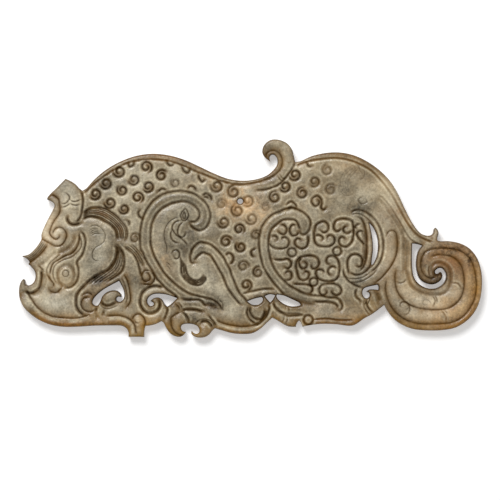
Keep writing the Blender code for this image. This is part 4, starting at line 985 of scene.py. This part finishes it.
# Soft patches for each layer of paint: middle, reach across and along, strength.
patches = {
    # Painted highlights and painted shade, such as under the shoulder band and on the cheek's right side,
    # mixed with lighter and darker tone.
    "light": [
        (37, 252, 9, 7, 0.37), (49, 230, 12, 18, 1.4), (52, 268, 16, 14, 0.48), (52, 300, 24, 10, 0.17),
        (63, 281, 20, 9, 0.55), (66, 200, 14, 14, 0.28), (73, 240, 7, 9, 0.31), (97, 279, 11, 8, -0.68),
        (104, 212, 14, 7, -0.22), (106, 184, 16, 11, -0.21), (116, 262, 8, 16, -0.27),
        (118, 232, 10, 12, -0.26), (131, 281, 20, 7, -0.29), (145, 322, 12, 7, 0.58),
        (181, 206, 22, 14, -0.16), (181, 238, 16, 22, -0.27), (193, 230, 12, 22, -0.23),
        (193, 300, 9, 6, -0.37), (193, 320, 9, 7, -0.6), (215, 301, 15, 7, -0.5), (217, 261, 8, 9, 0.25),
        (242, 204, 10, 10, 0.31), (265, 203, 10, 8, -0.29), (265, 300, 14, 8, -0.2), (282, 156, 7, 14, 0.4),
        (305, 262, 26, 28, -0.19), (332, 164, 38, 8, 0.29), (361, 207, 12, 12, -0.48),
        (361, 278, 9, 9, -0.42), (373, 187, 17, 13, 0.26), (388, 192, 12, 24, 0.55),
        (390, 260, 11, 21, 0.62), (409, 221, 9, 11, 0.55), (410, 274, 9, 18, 0.53),
        (412, 290, 12, 14, 0.24), (433, 279, 8, 6, -0.46), (440, 305, 26, 12, 0.26),
        (440, 318, 28, 10, 0.24), (456, 252, 28, 14, 0.25), (479, 282, 8, 18, 0.76),
    ],
    "tan": [
        (36, 250, 9, 8, 0.4), (50, 262, 14, 12, -0.3), (52, 236, 14, 26, -0.7), (56, 321, 26, 7, 1.15),
        (85, 325, 26, 5, 0.41), (97, 285, 14, 8, 0.52), (98, 300, 14, 12, 0.29), (110, 322, 80, 8, 0.42),
        (150, 158, 60, 5, 0.5), (223, 189, 8, 6, 0.4), (240, 206, 18, 15, 0.55), (243, 330, 40, 8, 0.63),
        (325, 306, 44, 7, 0.4), (337, 322, 40, 5, 0.69), (350, 165, 16, 8, 0.4), (350, 318, 60, 8, 0.55),
        (385, 262, 12, 20, -0.3), (430, 330, 40, 10, 0.38), (443, 292, 12, 7, -0.41),
        (448, 260, 26, 19, 0.53), (455, 296, 34, 30, 0.4), (455, 326, 24, 8, 0.53),
        (457, 312, 22, 12, 0.66), (473, 288, 12, 32, 0.57),
    ],
    # Pale tone, with painted highlights on the cheek.
    "paleAndHighlight": [
        (50, 234, 12, 22, 0.7), (40, 300, 14, 12, 0.35), (52, 262, 9, 9, 0.5), (60, 302, 22, 9, 0.6),
        (66, 198, 12, 14, 0.7), (66, 224, 9, 16, 0.5), (72, 302, 22, 12, 0.4), (100, 262, 9, 10, 0.55),
        (108, 232, 8, 7, 0.3), (127, 184, 24, 14, 0.35), (250, 192, 10, 6, 0.6), (325, 308, 26, 6, 0.5),
        (325, 311, 28, 7, 0.6), (422, 301, 14, 7, 0.8), (430, 310, 30, 16, 0.5), (446, 292, 12, 7, 0.8),
    ],
    # Golden tone near the bottom, partly a painted glow through the edge.
    "goldAndGlow": [
        (100, 304, 12, 7, 0.35), (104, 318, 22, 8, 0.7), (150, 318, 14, 8, 0.4), (182, 326, 14, 13, 0.6),
        (206, 331, 10, 8, 0.7), (236, 328, 30, 7, 0.7), (255, 323, 10, 8, 0.6), (286, 320, 14, 8, 0.6),
        (335, 322, 34, 5, 0.7), (345, 300, 26, 8, 0.3), (352, 190, 60, 40, 0.16), (371, 306, 12, 9, 0.7),
        (428, 327, 42, 6, 0.8), (475, 296, 7, 30, 0.8),
    ],
    # Brown tone, with painted shadow inside the plume's hook and in the hollow under the shoulder band's
    # end.
    "brown": [
        (104, 213, 14, 7, 0.55), (110, 274, 16, 9, 0.45), (119, 228, 6, 9, 0.55), (212, 306, 8, 3, 0.7),
        (271, 165, 5, 9, 0.9), (367, 244, 5, 26, 0.8), (372, 180, 20, 10, 0.1), (392, 262, 26, 40, 0.2),
        (400, 214, 20, 12, 0.6), (448, 262, 28, 17, 0.75), (455, 250, 24, 10, 0.8),
    ],
    # Dark stains and specks, with painted shadow inside the plume's hook and under the shoulder band's end.
    "stainAndShadow": [
        (32, 308, 4, 8, 0.4), (70, 324, 26, 3.5, 0.4), (120, 324, 26, 3, 0.35), (208, 300, 2.5, 6, 0.5),
        (213, 306, 5, 3, 0.8), (243, 333, 22, 3, 0.4), (268, 162, 3, 6, 0.5), (350, 322, 24, 3, 0.3),
        (424, 262, 4, 8, 0.5), (432, 252, 12, 4, 0.6), (434, 281, 6, 3, 0.7), (438, 277, 7, 6, 0.7),
        (440, 248, 16, 5, 0.5), (447, 254, 8, 4, 0.6), (448, 248, 18, 5, 0.7), (452, 318, 22, 4, 0.35),
        (455, 250, 9, 4, 0.7), (469, 258, 5, 10, 0.8), (471, 258, 5, 8, 0.6), (474, 278, 4, 12, 0.5),
        (474, 290, 5, 26, 0.4), (476, 262, 4, 10, 0.5),
    ],
    "warm": [
        (160, 262, 12, 18, 0.55), (205, 176, 18, 9, 0.6), (240, 200, 22, 20, 1.0), (262, 216, 14, 18, 0.6),
        (300, 190, 26, 14, 0.3), (412, 300, 20, 20, 0.15), (436, 300, 34, 24, 0.3),
    ],
    # Darker grey-olive tone, with painted shade on the cheek's right side and under the shoulder band's end.
    "dim": [
        (90, 250, 18, 22, 0.3), (112, 252, 7, 14, 0.5), (176, 240, 20, 34, 0.6), (205, 300, 24, 8, 0.5),
        (214, 236, 18, 10, 0.5), (272, 300, 20, 10, 0.4), (345, 180, 40, 16, 0.3),
    ],
}
# Calm parts, where the rim colour is fainter and the cuts' soil, painted shade and dark lines are paler:
# middle, reach across and along, how much paler the cuts are there.
calmSpots = [
    (390, 195, 24, 34, 0.5), (66, 200, 15, 18, 0), (48, 240, 14, 22, 0), (34, 253, 8, 8, 0),
    (425, 320, 40, 14, 0), (285, 152, 8, 16, 0),
]
shown = wholeMesh(np.ones(faceCount), soilWearAndPaintedLight["backShare"], soilWearAndPaintedLight["backShare"])
for name, rows in patches.items():
    for *place, strength in rows:
        spot = strength * softSpot(plans, *place) * shown
        paint[name] = paint[name] + spot if name in ("light", "tan") else np.maximum(paint[name], spot)
for *place, paler in calmSpots:
    calm = softSpot(plans, *place)
    paint["rim"] *= 1 - soilWearAndPaintedLight["calmRim"] * calm
    for name in ("soilAndShade", "recess", "umber"):
        paint[name] *= 1 - paler * calm
for name, values in paint.items():
    layer = mesh.attributes.new(name, "FLOAT", "POINT")
    layer.data.foreach_set("value", np.clip(values, soilWearAndPaintedLight["least"], 1).astype(np.float32))
print("relief", len(mesh.vertices), "points", len(mesh.polygons), "faces")


def tone(red, green, blue):
    def linear(value):
        value /= 255
        return value / 12.92 if value <= 0.04045 else ((value + 0.055) / 1.055) ** 2.4
    return (linear(red), linear(green), linear(blue), 1)


jadeLook = {
    "face": tone(149, 137, 113), "faceLight": tone(191, 181, 156), "faceGrey": tone(120, 115, 98),
    "warm": tone(228, 190, 142), "paleAndHighlight": tone(209, 203, 184), "brown": tone(146, 106, 72),
    "soilAndShade": tone(110, 77, 22), "recess": tone(34, 18, 1), "umber": tone(52, 31, 3), "rim": tone(112, 80, 36),
    "goldAndGlow": tone(132, 101, 44), "stainAndShadow": tone(46, 30, 14), "dim": tone(106, 92, 68),
    "wornAndHighlight": tone(204, 193, 164), "tan": (1.12, 0.89, 0.64, 1),
    "specular": (0.0, 0.6, 0.38, 0.0), "fineBump": (0.22, 0.0002), "broadBump": (0.4, 0.0006),
    "grain": (0.0006, 3.0, 0.6, 11.0), "unevenness": (0.0035, 4.0, 0.6, 12.0),
    "speckle": ((0.0007, 2.0, 0.8, 19.0), (0.3, 0.7, -0.22, 0.22)),
    "grime": ((0.0045, 4.0, 0.7, 20.0), (0.34, 0.66, -0.2, 0.2)),
    "rough": ((0.004, 4.0, 0.6, 10.0), (0.3, 0.7, 0.2, 0.42)), "cutRough": 0.35, "ior": 1.5,
}

# From the stone outward: the tone, whether a paint layer of the same name bounds it, the noise (size in m,
# detail, roughness, seed), the noise values that it runs between, and the shares that they give.
jadeLayers = [
    ("faceLight", False, (0.011, 5.0, 0.6, 1.0), (0.42, 0.66, 0.0, 1.0)),
    ("faceGrey", False, (0.019, 4.0, 0.6, 2.0), (0.5, 0.72, 0.0, 0.7)),
    ("warm", True, (0.006, 4.0, 0.6, 3.0), (0.28, 0.6, 0.0, 1.0)),
    ("paleAndHighlight", True, (0.005, 4.0, 0.6, 4.0), (0.3, 0.65, 0.0, 1.0)),
    ("soilAndShade", False, (0.0022, 5.0, 0.7, 5.0), (0.54, 0.78, 0.0, 0.32)),
    ("dim", True, (0.005, 4.0, 0.6, 13.0), (0.25, 0.6, 0.5, 1.0)),
    ("faceLight", False, (0.0014, 5.0, 0.7, 14.0), (0.52, 0.72, 0.0, 0.5)),
    ("soilAndShade", False, (0.0011, 4.0, 0.7, 15.0), (0.6, 0.72, 0.0, 0.8)),
    ("brown", True, (0.004, 4.0, 0.6, 6.0), (0.25, 0.6, 0.0, 1.0)),
    ("soilAndShade", True, (0.0035, 3.0, 0.6, 7.0), (0.25, 0.62, 0.45, 1.0)),
    ("rim", True, (0.005, 3.0, 0.5, 0.0), (0.3, 0.6, 0.8, 0.8)),
    ("goldAndGlow", True, (0.005, 3.0, 0.5, 8.0), (0.3, 0.6, 0.45, 1.0)),
    ("tan", True, (0.006, 4.0, 0.6, 18.0), (0.25, 0.6, 0.5, 1.0)),
    ("wornAndHighlight", True, (0.0024, 3.0, 0.6, 16.0), (0.3, 0.7, 0.4, 0.95)),
    ("umber", True, (0.002, 3.0, 0.6, 21.0), (0.25, 0.6, 0.7, 1.0)),
    ("recess", True, (0.0018, 3.0, 0.6, 17.0), (0.25, 0.6, 0.62, 0.98)),
    ("stainAndShadow", True, (0.001, 4.0, 0.7, 9.0), (0.45, 0.56, 0.0, 1.0)),
]


def newMaterial(name):
    material = bpy.data.materials.new(name)
    material.use_nodes = True
    nodes, links = material.node_tree.nodes, material.node_tree.links
    return material, nodes, links, nodes["Principled BSDF"]


def jadeMaterial():
    material, nodes, links, shader = newMaterial("carvedJade")
    spot = nodes.new("ShaderNodeTexCoord").outputs["Object"]
    look = jadeLook

    def feed(socket, value):
        if isinstance(value, (float, tuple)):
            socket.default_value = value
        else:
            links.new(value, socket)

    def attribute(name):
        node = nodes.new("ShaderNodeAttribute")
        node.attribute_name = name
        return node.outputs["Fac"]

    def noise(size, detail, rough, seed):
        node = nodes.new("ShaderNodeTexNoise")
        node.noise_dimensions = "4D"
        keys = ("Vector", "W", "Scale", "Detail", "Roughness")
        for key, value in zip(keys, (spot, seed, 1 / size, detail, rough)):
            feed(node.inputs[key], value)
        return node.outputs["Fac"]

    def ranged(value, low, high, toLow, toHigh):
        node = nodes.new("ShaderNodeMapRange")
        node.interpolation_type = "SMOOTHSTEP"
        keys = ("Value", "From Min", "From Max", "To Min", "To Max")
        for key, number in zip(keys, (value, low, high, toLow, toHigh)):
            feed(node.inputs[key], number)
        return node.outputs["Result"]

    def patchy(noiseRow, span):
        return ranged(noise(*noiseRow), *span)

    def combined(first, second, operation="MULTIPLY", clamped=True):
        node = nodes.new("ShaderNodeMath")
        node.operation = operation
        node.use_clamp = clamped
        feed(node.inputs[0], first)
        feed(node.inputs[1], second)
        return node.outputs[0]

    def mixed(first, second, share, blend):
        node = nodes.new("ShaderNodeMix")
        node.data_type = "RGBA"
        node.blend_type = blend
        for number, value in ((0, share), (6, first), (7, second)):
            feed(node.inputs[number], value)
        return node.outputs[2]

    def bump(values, height, normal=None):
        node = nodes.new("ShaderNodeBump")
        node.inputs["Strength"].default_value, node.inputs["Distance"].default_value = values
        links.new(height, node.inputs["Height"])
        if normal:
            links.new(normal, node.inputs["Normal"])
        return node.outputs["Normal"]

    colour = look["face"]
    for name, painted, noiseRow, span in jadeLayers:
        share = patchy(noiseRow, span)
        if painted:
            share = combined(attribute(name), share)
        colour = mixed(colour, look[name], share, "MULTIPLY" if name == "tan" else "MIX")
    factor = combined(patchy(*look["speckle"]), patchy(*look["grime"]), "ADD", False)
    # The light layer scales the colour up and down: painted highlights and shade, with tone.
    factor = combined(attribute("light"), factor, "ADD", False)
    scaled = nodes.new("ShaderNodeVectorMath")
    scaled.operation = "SCALE"
    links.new(colour, scaled.inputs[0])
    links.new(combined(factor, 1.0, "ADD", False), scaled.inputs["Scale"])
    links.new(scaled.outputs["Vector"], shader.inputs["Base Color"])
    rough = combined(attribute("recess"), look["cutRough"])
    links.new(combined(patchy(*look["rough"]), rough, "ADD"), shader.inputs["Roughness"])
    grain = bump(look["fineBump"], noise(*look["grain"]))
    links.new(bump(look["broadBump"], noise(*look["unevenness"]), grain), shader.inputs["Normal"])
    shader.inputs["IOR"].default_value = look["ior"]
    cutInto = combined(attribute("recess"), attribute("umber"), "ADD")
    links.new(ranged(cutInto, *look["specular"]), shader.inputs["Specular IOR Level"])
    return material


mesh.materials.append(jadeMaterial())
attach(jadeBeast, "root")
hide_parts(pendantNode)
print("jade material on", jadeBeast.name)

studio = {
    "floor": tone(245, 245, 245), "floorSize": 3, "floorDrop": 0.0001, "floorRoughness": 0.9,
    "floorSpecular": 0.1, "floorGlow": 0.36, "worldStrength": 0.25,
    "keyPlace": (-0.15, 0.325, 0.56), "keySize": 0.3, "keyEnergy": 3.4,
    "fillPlace": (0.45, -0.25, 0.5), "fillSize": 0.6, "fillEnergy": 0.25,
    "cameraPlace": (-0.00017, -0.00394, 0.9552), "fieldWidth": 0.1726, "sensor": 36, "clipEnd": 20,
}
white = (1, 1, 1, 1)


def addFloor():
    bpy.ops.mesh.primitive_plane_add(size=studio["floorSize"], location=(0, 0, -studio["floorDrop"]))
    floor = bpy.context.object
    floor.name = "paleFloor"
    bpy.ops.object.transform_apply(location=True, rotation=True, scale=True)
    material, nodes, links, shader = newMaterial("paleFloorPaint")
    shader.inputs["Base Color"].default_value = studio["floor"]
    shader.inputs["Roughness"].default_value = studio["floorRoughness"]
    shader.inputs["Specular IOR Level"].default_value = studio["floorSpecular"]
    shader.inputs["Emission Color"].default_value = white
    shader.inputs["Emission Strength"].default_value = studio["floorGlow"]
    floor.data.materials.append(material)


def addArea(name):
    place = studio[name + "Place"]
    light = bpy.data.lights.new(name + "Light", "AREA")
    light.shape = "DISK"
    light.size = studio[name + "Size"]
    light.energy = studio[name + "Energy"]
    lamp = bpy.data.objects.new(name + "Light", light)
    lamp.location = place
    lamp.rotation_euler = (-Vector(place)).to_track_quat("-Z", "Y").to_euler()
    bpy.context.scene.collection.objects.link(lamp)


bpy.ops.object.select_all(action="DESELECT")
addFloor()
addArea("key")
addArea("fill")
world = bpy.data.worlds.new("studioWorld")
bpy.context.scene.world = world
world.use_nodes = True
background = world.node_tree.nodes["Background"].inputs
background["Color"].default_value = white
background["Strength"].default_value = studio["worldStrength"]
bpy.context.scene.view_settings.view_transform = "Standard"

camera = bpy.data.cameras.new("camera")
viewer = bpy.data.objects.new("camera", camera)
viewer.location = studio["cameraPlace"]
faceAway = studio["cameraPlace"][2] - relief["face"] / 1000
camera.sensor_width = studio["sensor"]
camera.lens = studio["sensor"] * faceAway / studio["fieldWidth"]
camera.clip_end = studio["clipEnd"]
bpy.context.scene.collection.objects.link(viewer)
bpy.context.scene.camera = viewer
print("floor, lights and camera placed")

bpy.context.view_layer.update()
